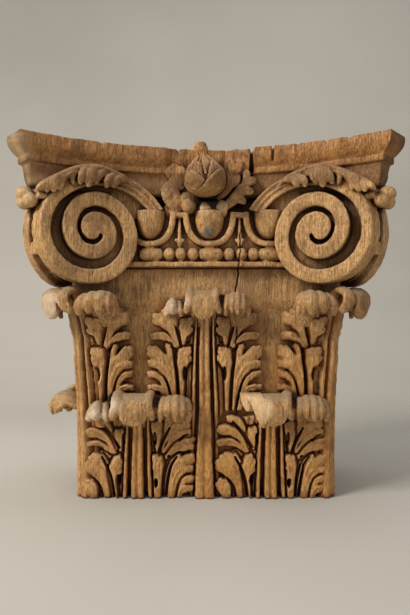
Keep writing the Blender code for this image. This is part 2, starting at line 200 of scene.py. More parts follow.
class Body:
    """Closed shells gathered into one mesh."""

    def __init__(self):
        self.verts, self.faces, self.count = [], [], 0

    def add(self, points, faces):
        self.verts.append(points)
        self.faces += [[i + self.count for i in face] for face in faces]
        self.count += len(points)

    def rings(self, rings, hollow=False):
        """Closed rings (rows, around, 3) in metres, joined in order; hollow where they aren't convex."""
        rings = np.asarray(rings, float)
        rows, around = rings.shape[:2]
        index = np.arange(rows * around).reshape(rows, around)
        low, high = index[:-1], index[1:]
        quads = np.stack((low, np.roll(low, -1, 1), np.roll(high, -1, 1), high), -1).reshape(-1, 4)
        points = rings.reshape(-1, 3)
        faces = quads.tolist()
        if hollow:
            faces += [index[0].tolist(), index[-1].tolist()]
        else:
            points = np.vstack([points, rings[0].mean(0), rings[-1].mean(0)])
            for row, hub in ((index[0], rows * around), (index[-1], rows * around + 1)):
                faces += [[int(row[i]), int(row[(i + 1) % around]), hub] for i in range(around)]
        self.add(points, faces)

    def make(self, name):
        mesh = bpy.data.meshes.new(name)
        mesh.from_pydata(np.vstack(self.verts).tolist(), [], self.faces)
        mesh.validate()
        return show(name, mesh)


def show(name, data):
    """A new object in the scene."""
    obj = bpy.data.objects.new(name, data)
    bpy.context.scene.collection.objects.link(obj)
    return obj


def read(parts, what):
    """Three numbers of each vertex or face of a mesh."""
    values = np.empty(len(parts) * 3)
    parts.foreach_get(what, values)
    return values.reshape(-1, 3)


def points_of(mesh):
    return read(mesh.vertices, "co")


def move_to(mesh, co):
    mesh.vertices.foreach_set("co", co.ravel())
    mesh.update()


PIECES = []
SIDES = {-1: "left", 0: "front", 1: "right"}
SKIN_KEEP = 0.42  # the part of a relief's triangles that is kept
FIRST_INSET = 0.1  # how far a piece's back lies inside the CAD model's
NEXT_INSET = 0.02  # and how much further each next one lies, so that no two share a plane
TOP_BAND = 1.2  # faces this near the top, and level, are part of the sawn top


def cut_back(mesh, back, open_skin):
    """Cuts a mesh off at the flat back and closes the cut."""
    shape = bmesh.new()
    shape.from_mesh(mesh)
    if max(v.co.y for v in shape.verts) > back:
        whole = shape.verts[:] + shape.edges[:] + shape.faces[:]
        cut = bmesh.ops.bisect_plane(shape, geom=whole, plane_co=(0, back, 0), plane_no=(0, 1, 0),
                                     clear_outer=True)
        rim = [e for e in cut["geom_cut"] if isinstance(e, bmesh.types.BMEdge)]
        if open_skin:
            for edge in rim:
                a, b = edge.verts
                inner = math.copysign((CORE - 5) * MM, a.co.x)
                wall = [shape.verts.new((v.co.x, back, v.co.z)) for v in (a, b)]
                wall += [shape.verts.new((inner, back, v.co.z)) for v in (b, a)]
                shape.faces.new(wall)
        elif rim:
            bmesh.ops.triangle_fill(shape, use_beauty=True, edges=rim, normal=(0, 1, 0))
        shape.to_mesh(mesh)
    shape.free()


def trim(mesh, inset):
    """Flattens a mesh at the bearing face, the flat back and the box of the CAD model."""
    co = points_of(mesh)
    co[:, 0] = np.clip(co[:, 0], LOW.x, HIGH.x)
    co[:, 1] = np.clip(co[:, 1], LOW.y, HIGH.y - inset * MM)
    co[:, 2] = np.clip(co[:, 2], LOW.z + 0.2 * inset * MM, HIGH.z)
    move_to(mesh, co)


def apply(obj, kind, **settings):
    """Adds a modifier and makes its result the object's mesh."""
    modifier = obj.modifiers.new(kind.lower(), kind)
    for key, value in settings.items():
        setattr(modifier, key, value)
    mesh = bpy.data.meshes.new_from_object(obj.evaluated_get(bpy.context.evaluated_depsgraph_get()))
    obj.modifiers.clear()
    old = obj.data
    obj.data = mesh
    bpy.data.meshes.remove(old)


def carve(body, name, voxel=1.0, soften=3, keep=0.6, wear=0.25):
    """Fuses a body into one worn surface of carved wood."""
    obj = body.make(name)
    apply(obj, "REMESH", mode="VOXEL", voxel_size=voxel * 1.0 * MM)
    apply(obj, "SMOOTH", factor=0.5, iterations=soften)
    mesh = obj.data
    co = points_of(mesh)
    out = read(mesh.vertex_normals, "vector")
    move_to(mesh, co + out * (wear * (0.6 * ripple(co, 9.0, 1) + 0.4 * ripple(co, 3.5, 2)))[:, None] * MM)
    apply(obj, "DECIMATE", ratio=keep)
    return finish_piece(obj)


def finish_piece(obj, inset=None, open_skin=False):
    """Trims a piece, shades its sawn faces flat and keeps it in the list of pieces."""
    mesh = obj.data
    inset = FIRST_INSET + NEXT_INSET * len(PIECES) if inset is None else inset
    cut_back(mesh, HIGH.y - inset * MM, open_skin)
    trim(mesh, inset)
    middle = read(mesh.polygons, "center")
    level = read(mesh.polygons, "normal")[:, 2] > 0.95
    on_top = (middle[:, 2] > HIGH.z - TOP_BAND * MM) & level
    on_back = middle[:, 1] > HIGH.y - (inset + 0.02) * MM
    mesh.polygons.foreach_set("use_smooth", ~(on_top | on_back))
    mesh.update()
    PIECES.append(obj)
    return obj


def outline(steps, root, tip):
    """Half a blade's width along it: root at the start, full, then round at the tip."""
    t = np.linspace(0, 1, steps)
    t = 1 - (1 - t) ** 1.7
    grow = root + (1 - root) * np.sin(clamp(t / max(1 - tip, 0.05)) * math.pi / 2)
    end = np.sqrt(clamp(1 - (np.clip(t - (1 - tip), 0, None) / (tip * 1.003)) ** 2))
    return t, grow * end


def blade(body, leaf, points, width, thick=4.0, foot=0.0, crown=2.0, root=0.6, tip=0.3,
          steps=22, across=11, face=(0, 1, 0), side=None, groove=0.0):
    """A carved blade along a path: rounded at its tip, crowned across, foot deeper at its root."""
    c = curve(points, steps, 1.7)
    t, w = outline(steps, root, tip)
    w = w * width
    tangent = unit(np.gradient(c, axis=0))
    if side is None:
        across_way = unit(np.cross(tangent, np.asarray(face, float)))
        out = unit(np.cross(across_way, tangent))
    else:
        side = np.asarray(side, float)
        across_way = unit(side - (tangent @ side)[:, None] * tangent)
        out = unit(np.cross(across_way, tangent))
    s = np.sin(np.linspace(-math.pi / 2, math.pi / 2, across))
    top = crown * (1 - s**2) - groove * np.exp(-((s / 0.28) ** 2))
    below = -np.power(1 - s[1:-1] ** 2, 0.35)
    deep = thick + foot * (1 - t) ** 1.5
    bulge = np.clip(np.sqrt(clamp(w / max(width, 1e-6))), 0.12, 1)
    over = top[None, :] * bulge[:, None]
    heights = np.concatenate([over, below[None, ::-1] * (deep * bulge)[:, None]], 1)
    sides = np.concatenate([s, s[1:-1][::-1]])[None, :] * w[:, None]
    ring = c[:, None, :] + across_way[:, None, :] * sides[..., None] + out[:, None, :] * heights[..., None]
    body.rings(leaf(ring))


def sweep(body, place, rings):
    body.rings(place(np.asarray(rings, float)))


def ball(body, place, centre, radius, squash=(1, 1, 1)):
    v = np.linspace(0.02, math.pi - 0.02, 9)[:, None]
    a = np.linspace(0, 2 * math.pi, 14, endpoint=False)[None, :]
    p = np.stack([np.sin(v) * np.cos(a), np.sin(v) * np.sin(a), np.cos(v) + 0 * a], -1)
    body.rings(place(np.asarray(centre, float) + p * radius * np.asarray(squash, float)))


# ---------------------------------------------------------------- leaves

# A leaflet: its height above the others and its lobes, each a root radius, a head radius and a
# spine of (u, z) from the row's foot; the leaflets in front come last
LOWER_RIGHT = (
    (-0.6, ((2.6, 5.0, (45, -6), (48.5, 6), (53, 9.5), (59, 10)),
            (2.6, 5.6, (42, -6), (45.5, 12), (51, 19.5), (60, 21.5)))),
    (-1.0, ((2.2, 4.6, (32, 44), (43, 53.5), (51, 56), (60, 56.5)),
            (2.4, 6.2, (31, 46), (39, 57), (48, 64), (60.5, 65.5)))),
    (0.2, ((2.0, 4.8, (29, 51), (38, 64), (47, 71.5), (56, 73.5)),
           (2.4, 7.4, (26, 52), (30, 65), (39, 76), (53, 83)),
           (2.0, 6.0, (27, 56), (30, 74), (36, 88), (46, 95)))),
    (0.4, ((3.0, 4.8, (38, -6), (41.5, 17), (48, 29.5), (59.5, 32.5)),
           (3.4, 7.4, (34.5, -6), (37, 20), (44, 35.5), (59, 43.5)),
           (2.0, 3.2, (30.6, -6), (32.8, 20), (38.5, 37), (47, 47.0)))),
    (1.2, ((2.4, 5.0, (22.5, 52), (22, 66), (23.5, 82)),
           (2.0, 3.8, (22, 54), (19.5, 72), (17.5, 82)))),
    (1.8, ((3.0, 3.4, (23.5, -6), (23, 20), (22, 32), (18, 34)),
           (2.6, 4.6, (20.5, -6), (21, 22), (21.5, 36), (20, 44.5)),
           (2.6, 4.4, (23.5, -6), (24, 22), (25, 36), (24.5, 43.5)))),
)
LOWER_LEFT = (
    (-1.0, ((2.4, 5.2, (26.5, 52), (36.5, 60.5), (46, 64), (57, 63)),
            (2.4, 6.4, (25.5, 53), (34, 69), (45, 77), (57, 77.5)),
            (2.0, 5.0, (23, 58), (29, 76), (36, 88), (45, 92)))),
    (0.2, ((3.0, 8.0, (35, -6), (37, 16), (45, 30), (56, 38)),
           (4.2, 9.0, (31.5, -6), (33.5, 20), (40, 37), (50.5, 45)),
           (2.4, 5.0, (28.5, -6), (30.5, 21), (35, 37), (41, 47)))),
    (1.2, ((3.0, 5.5, (51, -6), (52, 6), (58, 15)),
           (3.0, 7.4, (47.5, -6), (50, 8), (54, 16.5)))),
    (1.0, ((2.0, 4.4, (19.5, 57), (20.5, 66), (23, 78)),
           (1.8, 3.4, (19.5, 57), (18.5, 70), (17.5, 80)))),
    (1.8, ((2.0, 3.6, (26, -6), (26.5, 18), (24.5, 29), (18.5, 33.5)),
           (2.2, 4.4, (26.5, -6), (27, 20), (25, 34), (17.5, 42.5)),
           (2.8, 5.4, (24, -6), (27, 20), (27, 36), (23, 46)))),
)
UPPER = (
    (-0.8, ((2.4, 4.6, (41, -14), (48.5, 7), (55, 10.2), (61.5, 9.6)),
            (2.6, 5.2, (38, -14), (45, 14), (52, 23.3), (60, 25.8)))),
    (0.0, ((2.2, 5.2, (30, 53), (38.5, 63), (47, 68), (56.5, 68.6)),
           (2.4, 7.8, (28, 54), (33, 68), (40, 81), (52.5, 88.5)),
           (2.2, 5.6, (28, 56), (31.5, 73), (37, 87), (44, 95)))),
    (0.6, ((2.4, 5.2, (32, -14), (38.5, 18), (48, 33), (60, 37.3)),
           (2.8, 7.8, (30, -14), (35, 19), (41, 36), (58.5, 51)),
           (1.8, 4.0, (30, -14), (34, 20), (37.5, 45), (41.4, 56)))),
    (1.4, ((1.8, 4.0, (24, 58), (20.5, 70), (15.4, 75.5)),
           (2.0, 4.8, (24.4, 58), (24, 74), (25.2, 85)),
           (2.0, 5.2, (24, 58), (21.5, 76), (17.5, 86)))),
    (2.0, ((1.8, 4.4, (25, -14), (25, 24), (22, 38), (17.4, 43)),
           (2.4, 5.4, (25.4, -14), (25.6, 24), (26, 40), (24.6, 51)),
           (2.0, 5.0, (25, -14), (25, 24), (23, 42), (18.5, 52)))),
)
# Eyes, the holes left between a tongue and the rib: (u, z, half width, half height)
LOWER_EYES = ((20.6, 17.0, 1.9, 5.2), (19.4, 66, 1.8, 7.5), (35.0, 45.5, 1.6, 1.8))
LOWER_LEFT_EYES = ((21.6, 20, 2.3, 6.5), (15.6, 66, 1.6, 6.5), (48, 54.5, 9.0, 3.2))
UPPER_EYES = ((22.4, 26, 2.3, 7.8), (18.6, 64.0, 1.8, 4.2), (33.5, 52.5, 1.8, 2.4))
GROUND = -3.0  # the bell's face is cut back this far behind the leaves
GAP = 1.5  # the groove a gouge leaves round each leaflet
HIDDEN = -7.0  # where a relief has nothing, it lies this far behind the bell's face
CROWN = 3.4  # how much a lobe swells across
TILT = 0.9  # and how much its upper edge stands out over the lower one
DISH = 1.7  # the hollow of the gouge along it
SCALLOP = 0.16  # waves in its sides
NOTCH = 0.24  # nicks in its end
SPREAD = 0.4  # added to its root radius
# Grooves cut last, between the leaflets: (half width, its path as (u, z))
LOWER_GROOVES = (
    (2.0, (31, -4), (33.5, 19), (37.5, 36), (44, 46)), (1.8, (23.5, 51), (29, 65.5), (36, 79)),
    (1.2, (46.5, 64), (51, 69), (57, 71)),
)
LOWER_LEFT_GROOVES = (
    (2.0, (25.5, -4), (28.5, 18), (33, 33), (40, 46)),
    (2.2, (21, 56), (24.5, 62), (29.5, 70), (36, 78), (42, 85)),
)
UPPER_GROOVES = (
    (2.1, (29, -60), (29.6, -2), (31.2, 25), (34, 44), (35.5, 53)), (1.6, (26.5, 58), (30, 70), (33, 80)),
)


def lobe(grid, spine, root, head, hand, rise, droop, plain):
    """One lobe of a leaflet: its top over the grid, and how far inside the lobe each point lies."""
    slip = rng.normal(0, 0.4, (len(spine), 2)) * np.linspace(0.2, 1, len(spine))[:, None]
    path = curve(np.column_stack([np.array(spine, float) + slip, np.zeros(len(spine))]), 90)[:, :2]
    t = np.linspace(0, 1, len(path))
    wide = root + SPREAD + (head - root) * np.sin(clamp(t / 0.85) * math.pi / 2) ** 1.8
    wide = wide * (1 + SCALLOP * (np.abs(np.sin(9.4 * t + head)) - 0.6) * clamp((t - 0.4) * 5))
    ahead = np.gradient(path, axis=0)
    ahead = ahead / np.maximum(np.hypot(ahead[:, :1], ahead[:, 1:]), 1e-6)
    along = -3.0 * (1 - t) ** 2 + 1.2 * np.sin(t * math.pi) - 2.2 * t**4
    inside = np.full(grid.shape[:-1], -99.0)
    top = np.zeros(grid.shape[:-1])
    cell = grid[0, 1, 0] - grid[0, 0, 0]
    for (u, z), r, here, (du, dz), k in zip(path, wide, along, ahead, t):
        z = z + rise - droop * z / 60
        column, row = (hand * u - grid[0, 0, 0]) / cell, (z - grid[0, 0, 1]) / cell
        reach = (r + GAP + 1) / cell
        area = tuple(slice(max(0, int(at - reach)), max(0, int(at + reach) + 2)) for at in (row, column))
        off_u, off_z = hand * grid[area][..., 0] - u, grid[area][..., 1] - z
        away = np.hypot(off_u, off_z)
        across = (off_z * du - off_u * dz) / r
        notched = r
        if k >= 0.75:
            notched = r * (1 - NOTCH * np.abs(np.sin(2 * np.arctan2(off_z, off_u) + head)) ** 4)
        better = notched - away > inside[area]
        inside[area] = np.where(better, notched - away, inside[area])
        dish = 0.0 if plain else DISH * math.sin(math.pi * min(k * 1.1, 1.0)) * min(r / 4, 1.2)
        swell = CROWN * (1 - np.minimum(away / r, 1.3) ** 2.6) + TILT * np.clip(across, -1, 1)
        hollow = dish * np.exp(-((across / 0.45) ** 2))
        top[area] = np.where(better, here + swell - hollow, top[area])
    return top, inside


def leaflet(grid, height, high, lobes, rise, hand, lift, plain, droop):
    """Cuts one division of a leaf into the relief, with a deep gouge cut all round it."""
    tops, insides = zip(*(lobe(grid, one[2:], one[0], one[1], hand, rise, droop, plain) for one in lobes))
    inside = np.max(insides, 0)
    top = np.max([np.where(i > -0.3, t, -9.0) for t, i in zip(tops, insides)], 0) + lift + high
    edge = clamp((inside + 0.3) / 1.2)
    face = HIDDEN + (top - HIDDEN) * edge * edge * (3 - 2 * edge)
    cut = np.where(inside > -GAP, np.minimum(height, np.maximum(height - 5.0, GROUND + 1.5)), height)
    return np.where(inside > -0.3, np.maximum(face, cut), cut)


def blur(field):
    for axis in (0, 1):
        padded = np.concatenate([field.take([0], axis), field, field.take([-1], axis)], axis)
        size = field.shape[axis]
        before, after = padded.take(range(size), axis), padded.take(range(2, size + 2), axis)
        field = 0.25 * before + 0.5 * field + 0.25 * after
    return field


RELIEF_CELLS = (0.6, 0.75, 1.3)  # the grid of a relief, by how many of a leaf's halves are plain
LEAF_HALF = 69
LEAF_TOP = 102
RIB_TOP = 92


def relief(name, leaf, upper, plain, droop):
    """The part of a leaf that lies on the bell, as one carved skin: ribs, leaflets and eyes."""
    rise = ROW_RISE if upper else 0.0
    cell = RELIEF_CELLS[len(plain)] * 1.0
    us = np.arange(-LEAF_HALF, LEAF_HALF + cell, cell)
    zs = np.arange(0.0, rise + LEAF_TOP, cell)
    grid = np.stack(np.meshgrid(us, zs), -1)
    across_leaf, up_leaf = grid[..., 0], grid[..., 1]
    height = np.full(grid.shape[:-1], HIDDEN)
    lift = 5.6 if upper else 6.6
    u, z = np.abs(across_leaf), up_leaf - rise
    reach = np.interp(z, (-113, -25, 20, 60, 88, 94), (15, 17, 42, 40, 34, 12)) if upper else \
        np.interp(z, (0, 30, 60, 88, 94), (50, 48, 46, 40, 12))
    height = np.where(u < reach, lift - 2.6 + 0.8 * np.sin(u * 0.9 + 0.03 * z), height)
    for hand in (-1, 1):
        if upper:
            shapes, eyes, grooves = UPPER, UPPER_EYES, UPPER_GROOVES
        elif hand > 0:
            shapes, eyes, grooves = LOWER_RIGHT, LOWER_EYES, LOWER_GROOVES
        else:
            shapes, eyes, grooves = LOWER_LEFT, LOWER_LEFT_EYES, LOWER_LEFT_GROOVES
        for high, lobes in shapes:
            height = leaflet(grid, height, high, lobes, rise, hand, lift, hand in plain,
                             droop.get(hand, 0.0))
        for u, z, half, tall in eyes:
            out = np.hypot((across_leaf - hand * u) / half, (up_leaf - z - rise) / tall)
            hole = clamp((1.12 - out) * 4)
            height = height + (HIDDEN + 1.5 - height) * hole * (height > GROUND)
        for half, *path in grooves:
            path = curve([(hand * u, z + rise, 0.0) for u, z in path], 60)
            near = np.full(grid.shape[:-1], 99.0)
            for (u, z, _), t in zip(path, np.linspace(0, 1, 60)):
                near = np.minimum(near, np.hypot(across_leaf - u, up_leaf - z) / (1 - 0.6 * t**3))
            cut = clamp((half - near) / 0.8)
            height = height + (GROUND - height) * cut * (height > GROUND)
    k = clamp(up_leaf / (rise + RIB_TOP))
    waver = 0.3 * np.sin(up_leaf * 0.05 + rise)
    across = np.abs(across_leaf + waver)
    stem = np.interp(k, *(((0, 0.45, 1), (11.0, 7.0, 5.2)) if upper else ((0, 0.6, 1), (7.4, 6.2, 5.4))))
    second = stem + np.interp(k, (0, 0.5, 1), (1.8, 3.4, 2.6)) if upper else stem + 4.2
    width = np.interp(k, (0, 0.5, 1), (4.5, 4.8, 2.6)) if upper else np.interp(k, (0, 1), (5.4, 3.4))
    height = np.where(across < second + width + 1.2, GROUND + 0.6, height)
    outer = np.interp(up_leaf, (78, 98), (2.6, 8.6)) if upper else 9.4
    for low, high, crest in ((0.5, stem, 11.0), (second, second + width, outer)):
        off = np.abs(across - (low + high) / 2) / ((high - low) / 2)
        rib = crest - 2.6 + 2.6 * np.sqrt(clamp(1 - off**2))
        height = np.where(off < 1, np.maximum(height, rib), height)
    height = np.where(across < 0.6, 9.0, height)
    height = blur(height)
    spots = np.stack([across_leaf, 0 * k, up_leaf], -1) * MM
    worn = 0.16 * ripple(spots * (1, 1, 0.5), 7.0, 31 + upper) + 0.12 * ripple(spots * (1, 1, 0.2), 2.8, 33)
    height = height + worn * clamp((height - 1) / 3)
    grid, height = np.concatenate([grid[:1], grid]), np.concatenate([height[:1] * 0 + HIDDEN, height])
    points = leaf(np.stack([grid[..., 0], height, grid[..., 1]], -1))
    rows, columns = height.shape
    index = np.arange(rows * columns).reshape(rows, columns)
    quads = np.stack((index[:-1, :-1], index[:-1, 1:], index[1:, 1:], index[1:, :-1]), -1).reshape(-1, 4)
    skin = Body()
    shown = (height.reshape(-1)[quads] > GROUND - 2).any(1)
    skin.add(points.reshape(-1, 3), quads[shown].tolist())
    obj = skin.make(name)
    apply(obj, "DECIMATE", ratio=SKIN_KEEP)
    return finish_piece(obj, open_skin=True)


def tip_path(rise, size, reach, crest, end, u=0.0, bulge=0.0):
    """A path that leaves the bell behind a leaf, bends over at the crest and hangs down in front."""
    shape = ((-0.1, 80.0, 0), (0.06, 100.0, 0), (0.32, crest - 3.5, 0.3), (0.63, crest, 0.7),
             (0.92, crest - 6.5, 1), (1.0, 0.5 * (crest + end) - 2, 1), (0.95, end, 0.8))
    out = 38.0 * reach * (0.4 + 0.6 * size)
    places = np.broadcast_to(u, len(shape))
    points = []
    for i, (n, z, proud) in enumerate(shape):
        if i > 1:
            z = crest + (z - crest) * (0.75 + 0.25 * size)
        points.append((places[i], n * out + bulge * proud, z + rise + 0.5 * bulge * proud * (i < 5)))
    return points


# A side of the tip: the rim's places across and half width, then the fan's middle, half width,
# crest, end, reach and number of fingers
FULL = ((13.0, 13.5, 15.0, 16.0, 14.6, 15.0, 20.0), 4.2, 44.0, 16.4, 117.0, 90.5, 0.86, 5)
SMALL = ((15.0, 16.0, 17.6, 19.2, 19.6, 20.5, 24.5), 5.0, 42.0, 10.2, 110.5, 90.0, 0.82, 3)
INNER = ((12.0, 12.4, 13.6, 14.4, 13.2, 13.6, 18.0), 4.2, 41.0, 17.2, 117.0, 90.0, 0.86, 5)
CORNER = ((11.0, 12.5, 14.0, 14.0, 14.0, 15.0, 18.0), 5.0, 38.0, 18.0, 117.0, 89.0, 0.86, 5)


def curl(body, leaf, rise, size, fans, lost=(), middle_blade=14.8):
    """The leaf's tip: a broad blade that bends over, with a rim and a fan of fingers at each side."""
    side = (1, 0, 0)
    torn = 26 * size if ("fan", -1) in lost else 0
    under = [(torn, n, rise + z) for n, z in ((-6, 62), (-4, 84), (0, 98), (5, 107), (8, 111))]
    blade(body, leaf, under, 52 * size - torn, thick=5, crown=0.0, root=1.0, tip=0.35, side=side, steps=20,
          across=45)
    path = tip_path(rise, size, 1.0, 118.5, 85.0, -1.0 * size)
    blade(body, leaf, path, middle_blade * size, thick=8.0, foot=4, crown=6.3 - 0.4 * middle_blade,
          root=0.85, tip=0.12, side=side, steps=44, across=21)
    for hand in (-1, 1):
        if hand not in fans:
            continue
        places, rim, middle, half, crest, end, reach, fingers = fans[hand]
        if ("rim", hand) not in lost:
            path = tip_path(rise, size, 0.96, 120.0, 91.0, hand * size * np.array(places))
            blade(body, leaf, path, (rim + 0.6) * size, thick=5.5, foot=3, crown=2.2, root=0.8, tip=0.12,
                  side=side, steps=36)
        if ("fan", hand) in lost:
            continue
        bridge = [(hand * u * size, n * (0.4 + 0.6 * size), z + rise - (117 - crest) * k)
                  for u, n, z, k in ((13, 8, 115, 0), (20, 8, 114, 0.4), (28, 7, 113, 0.8), (38, 6, 112, 1))]
        blade(body, leaf, bridge, 6.0 * size, thick=5.5, crown=1.5, root=1.0, tip=0.2, face=(0, 0, 1))
        loose = fingers > 3  # a small fan's fingers lie closer together
        back_end = end + (4.5 if loose else 1.0)
        path = tip_path(rise, size, reach * 0.91, crest - 6.0, back_end, hand * middle * size)
        blade(body, leaf, path, half * size, thick=9.0, foot=3, crown=6.0, root=0.7, tip=0.3, side=side,
              steps=34, across=25)
        for k in range(fingers):
            s = -0.82 + 1.64 * (k / (fingers - 1))
            slip = rng.normal(0, 0.5, 3)
            fall = 12.5 * max(s, 0.0) ** 2 + 3.0 * min(s, 0.0) ** 2
            closing = np.array((0, 0, 0, 0, 1.5, 3.0, 4.0)) * min(s, 0.0)
            u = hand * (middle + s * half + closing) * size + 0.4 * slip[0]
            path = tip_path(rise, size, reach * (1 - 0.02 * fall), crest - 2.5 - fall + 0.4 * slip[1],
                            end - 1.5 + 0.8 * slip[2] + 2.8 * (k % 2), u, 2.6 * (1 - s * s))
            wide = (1.27 if loose else 1.36) * half / fingers * size
            blade(body, leaf, path, wide, thick=5.0, foot=2, crown=2.4, root=0.8, tip=0.2, side=side,
                  steps=32)


def splinters(body, leaf):
    """The torn face where the left part of a leaf's tip has been knocked off."""
    for path, width, tip in (
        (((-22, 16, 119), (-20, 29, 117), (-14.5, 33, 102), (-10.5, 32, 83)), 8.0, 0.75),
        (((-30, 10, 119), (-29, 21, 117), (-28.5, 23, 108), (-26, 23, 99)), 5.6, 0.7),
        (((-16, 24, 120), (-13, 34, 113), (-10, 35, 100), (-9, 34, 90)), 3.4, 0.5),
        (((-24, 14, 112), (-23, 22, 106), (-22, 22, 99)), 3.2, 0.7),
    ):
        path = np.array(path) + rng.normal(0, 0.3, (len(path), 3))
        blade(body, leaf, path, width, thick=9.0, foot=6, crown=0.6, root=0.9, tip=tip, side=(1, 0.25, 0),
              steps=20)


def acanthus(name, leaf, upper, fans, lost=(), plain=(), droop=None, voxel=0.9, keep=0.45,
             middle_blade=14.8):
    skin = relief(name, leaf, upper, plain, droop or {})
    if upper and not plain:
        split(skin, 5.0, 164.0)
    if "all" in lost:
        return
    body = Body()
    rise, size = (ROW_RISE, UPPER_SIZE) if upper else (0.0, 1.0)
    curl(body, leaf, rise, size, fans, lost, middle_blade)
    if ("fan", -1) in lost:
        splinters(body, leaf)
    carve(body, name + "_tip", voxel, soften=2, keep=keep, wear=0.3)


# ---------------------------------------------------------------- volutes

def spiral_radius(angle):
    """The ribbon's outer radius, from SPIRAL's value at each quarter turn."""
    if angle < 0:
        return SPIRAL[0] + (FIRST_RADIUS - SPIRAL[0]) * (angle / SPIRAL_START) ** 2
    quarter = min(angle / (math.pi / 2), len(SPIRAL) - 1.001)
    i = int(quarter)
    t = quarter - i
    before, start, end, after = (SPIRAL[max(0, min(len(SPIRAL) - 1, k))] for k in range(i - 1, i + 3))
    turn = t * t * (3 - 2 * t)
    rise = (end - before) / 2 * t * (1 - t) ** 2 - (after - start) / 2 * t * t * (1 - t)
    return start + (end - start) * turn + rise


def volute(name, turn, hand, voxel, keep):
    """One face of a volute: the ribbon, its sunk channel, the eye and the backing."""
    body = Body()
    place = volute_plan(turn, hand)
    step = math.radians(4.0)
    angles = np.arange(SPIRAL_START, CHANNEL_END + step, step)
    ribbon, floor = [], []
    across = np.array([0, 0, 0.5, 1.5, 3.2, 5.0, 6.6, 7.75, 8.9, 10.5, 12.3, 14.0, 15.0, 15.5, 15.7])
    level = np.array([-PLATE, -1.6, -0.5, 0, 0.1, 0.2, 0.2, 0.3, 0.2, 0.2, 0.1, 0, -0.5, -1.6, -PLATE])
    flutes = np.array([0, 0, 0, 0, -0.6, -2.4, -0.8, 0.3, -0.8, -2.4, -0.6, 0, 0, 0, 0])
    for angle in angles:
        r = spiral_radius(angle)
        after = spiral_radius(angle + 2 * math.pi)
        shrink = min(1.0, (CHANNEL_END + 0.02 - angle) / 0.25 + 0.35)
        w = across * min(1.0, shrink + 0.4) * (1 - NARROWER * max(math.cos(angle), 0) ** 2 * (angle < 4.0))
        depth = level + flutes * clamp((-0.9 - angle) / 0.8)
        sink = CHANNEL + DEEPER * clamp((r * math.cos(angle) + 30) / 30)
        depth[-1] = -sink - 3.0
        if angle > 4.7:
            depth[0] = -sink - 3.0
        w = w - FLARE * max(math.cos(angle), 0) * (np.arange(len(w)) == 0) * (angle < 5.0)
        unevenness = 0.15 * math.sin(3.1 * angle + hand) + 0.1 * math.sin(7.3 * angle)
        radius = r - w + unevenness
        ribbon.append(np.stack([radius * math.cos(angle), depth, -radius * math.sin(angle)], -1))
        f = np.array([r - 2, r - 2, after - 2, after - 2])
        h = np.array([-sink - 3.0, -sink, -sink, -sink - 3.0])
        floor.append(np.stack([f * math.cos(angle), h, -f * math.sin(angle)], -1))
    body.rings(place(np.array(ribbon)))
    body.rings(place(np.array(floor)))
    rim = []
    for angle in np.arange(CHANNEL_END, CHANNEL_END + 2 * math.pi, step * 1.5):
        r = spiral_radius(angle)
        rim.append((r * math.cos(angle), -r * math.sin(angle)))
    rim = np.array(rim)
    rings = []
    for size, h in ((0.2, -BACKING), (1.0, -BACKING), (1.0, -1.4), (0.985, -0.4), (0.94, 0.0), (0.5, 0.2),
                    (0.1, 0.2)):
        rings.append(np.stack([rim[:, 0] * size, np.full(len(rim), h), rim[:, 1] * size], -1))
    body.rings(place(np.array(rings)))
    carve(body, name, voxel, soften=2, keep=keep, wear=0.3)


# The blocks behind and under a volute's horn: their plan at the right-hand corner, foot and top
CORE_BLOCKS = (
    (((170, 181), (181, 170), (186.5, 177.5), (177.5, 186.5)), (267.5, 281.0)),
    (((40, 118), (70, 136), (158, 165), (172, 172), (165, 158), (136, 70), (118, 40), (60, 60)),
     (313.0, 345.0)),
)


def volute_core(hand):
    """The solid wood between a volute's two faces."""
    body = Body()
    angle = np.arange(40) * math.pi / 20
    depth = -9.5 - 9.5 * clamp(np.cos(angle) + 0.7)
    ring = np.stack([42 * np.cos(angle), depth, -42 * np.sin(angle)], -1)
    front, side = (volute_plan(turn, way)(ring) for turn, way in ((0, hand), (hand, -hand)))
    body.rings([front * (1 - t) + side * t for t in np.linspace(0, 1, 9)])
    for plan, heights in CORE_BLOCKS:
        x, y = np.array(plan).T
        body.rings([world(hand * x, -y, z) for z in heights])
    carve(body, f"volute_core_{SIDES[hand]}", 1.3, soften=3, keep=0.3)


# The leaf laid over a volute: its leaflets as (p, height, q) paths, half width and groove
VOLUTE_LEAFLETS = (
    ((-36, 2, 56), (-27, 6, 55), (-22, 7, 51), (-20, 5, 46), 4.6),
    ((-30, 2, 60), (-19, 7, 57), (-14, 8, 52), (-12, 6, 45), 4.2),
    ((-18, 2, 64), (-8, 7, 60), (-3, 8, 55), (-1, 6, 47), 4.6),
    ((-12, 2, 64), (0, 8, 62), (5, 9, 55), (6.5, 6, 43), 5.6),
    ((-2, 2, 64), (9, 7, 61), (14, 8, 55), (15.5, 5, 46), 4.4),
    ((12, 2, 62), (21, 5, 57), (23, 4, 51), (21, 2, 45), 2.6),
    ((24, 2, 58), (33, 6, 50), (36, 6, 44), (35.5, 4, 38), 4.4),
    ((28, 2, 56), (38, 7, 49), (42, 7, 43), (43, 4, 35), 4.8),
    ((34, 2, 52), (45, 6, 45), (48, 6, 40), (49, 3, 34), 3.8),
)


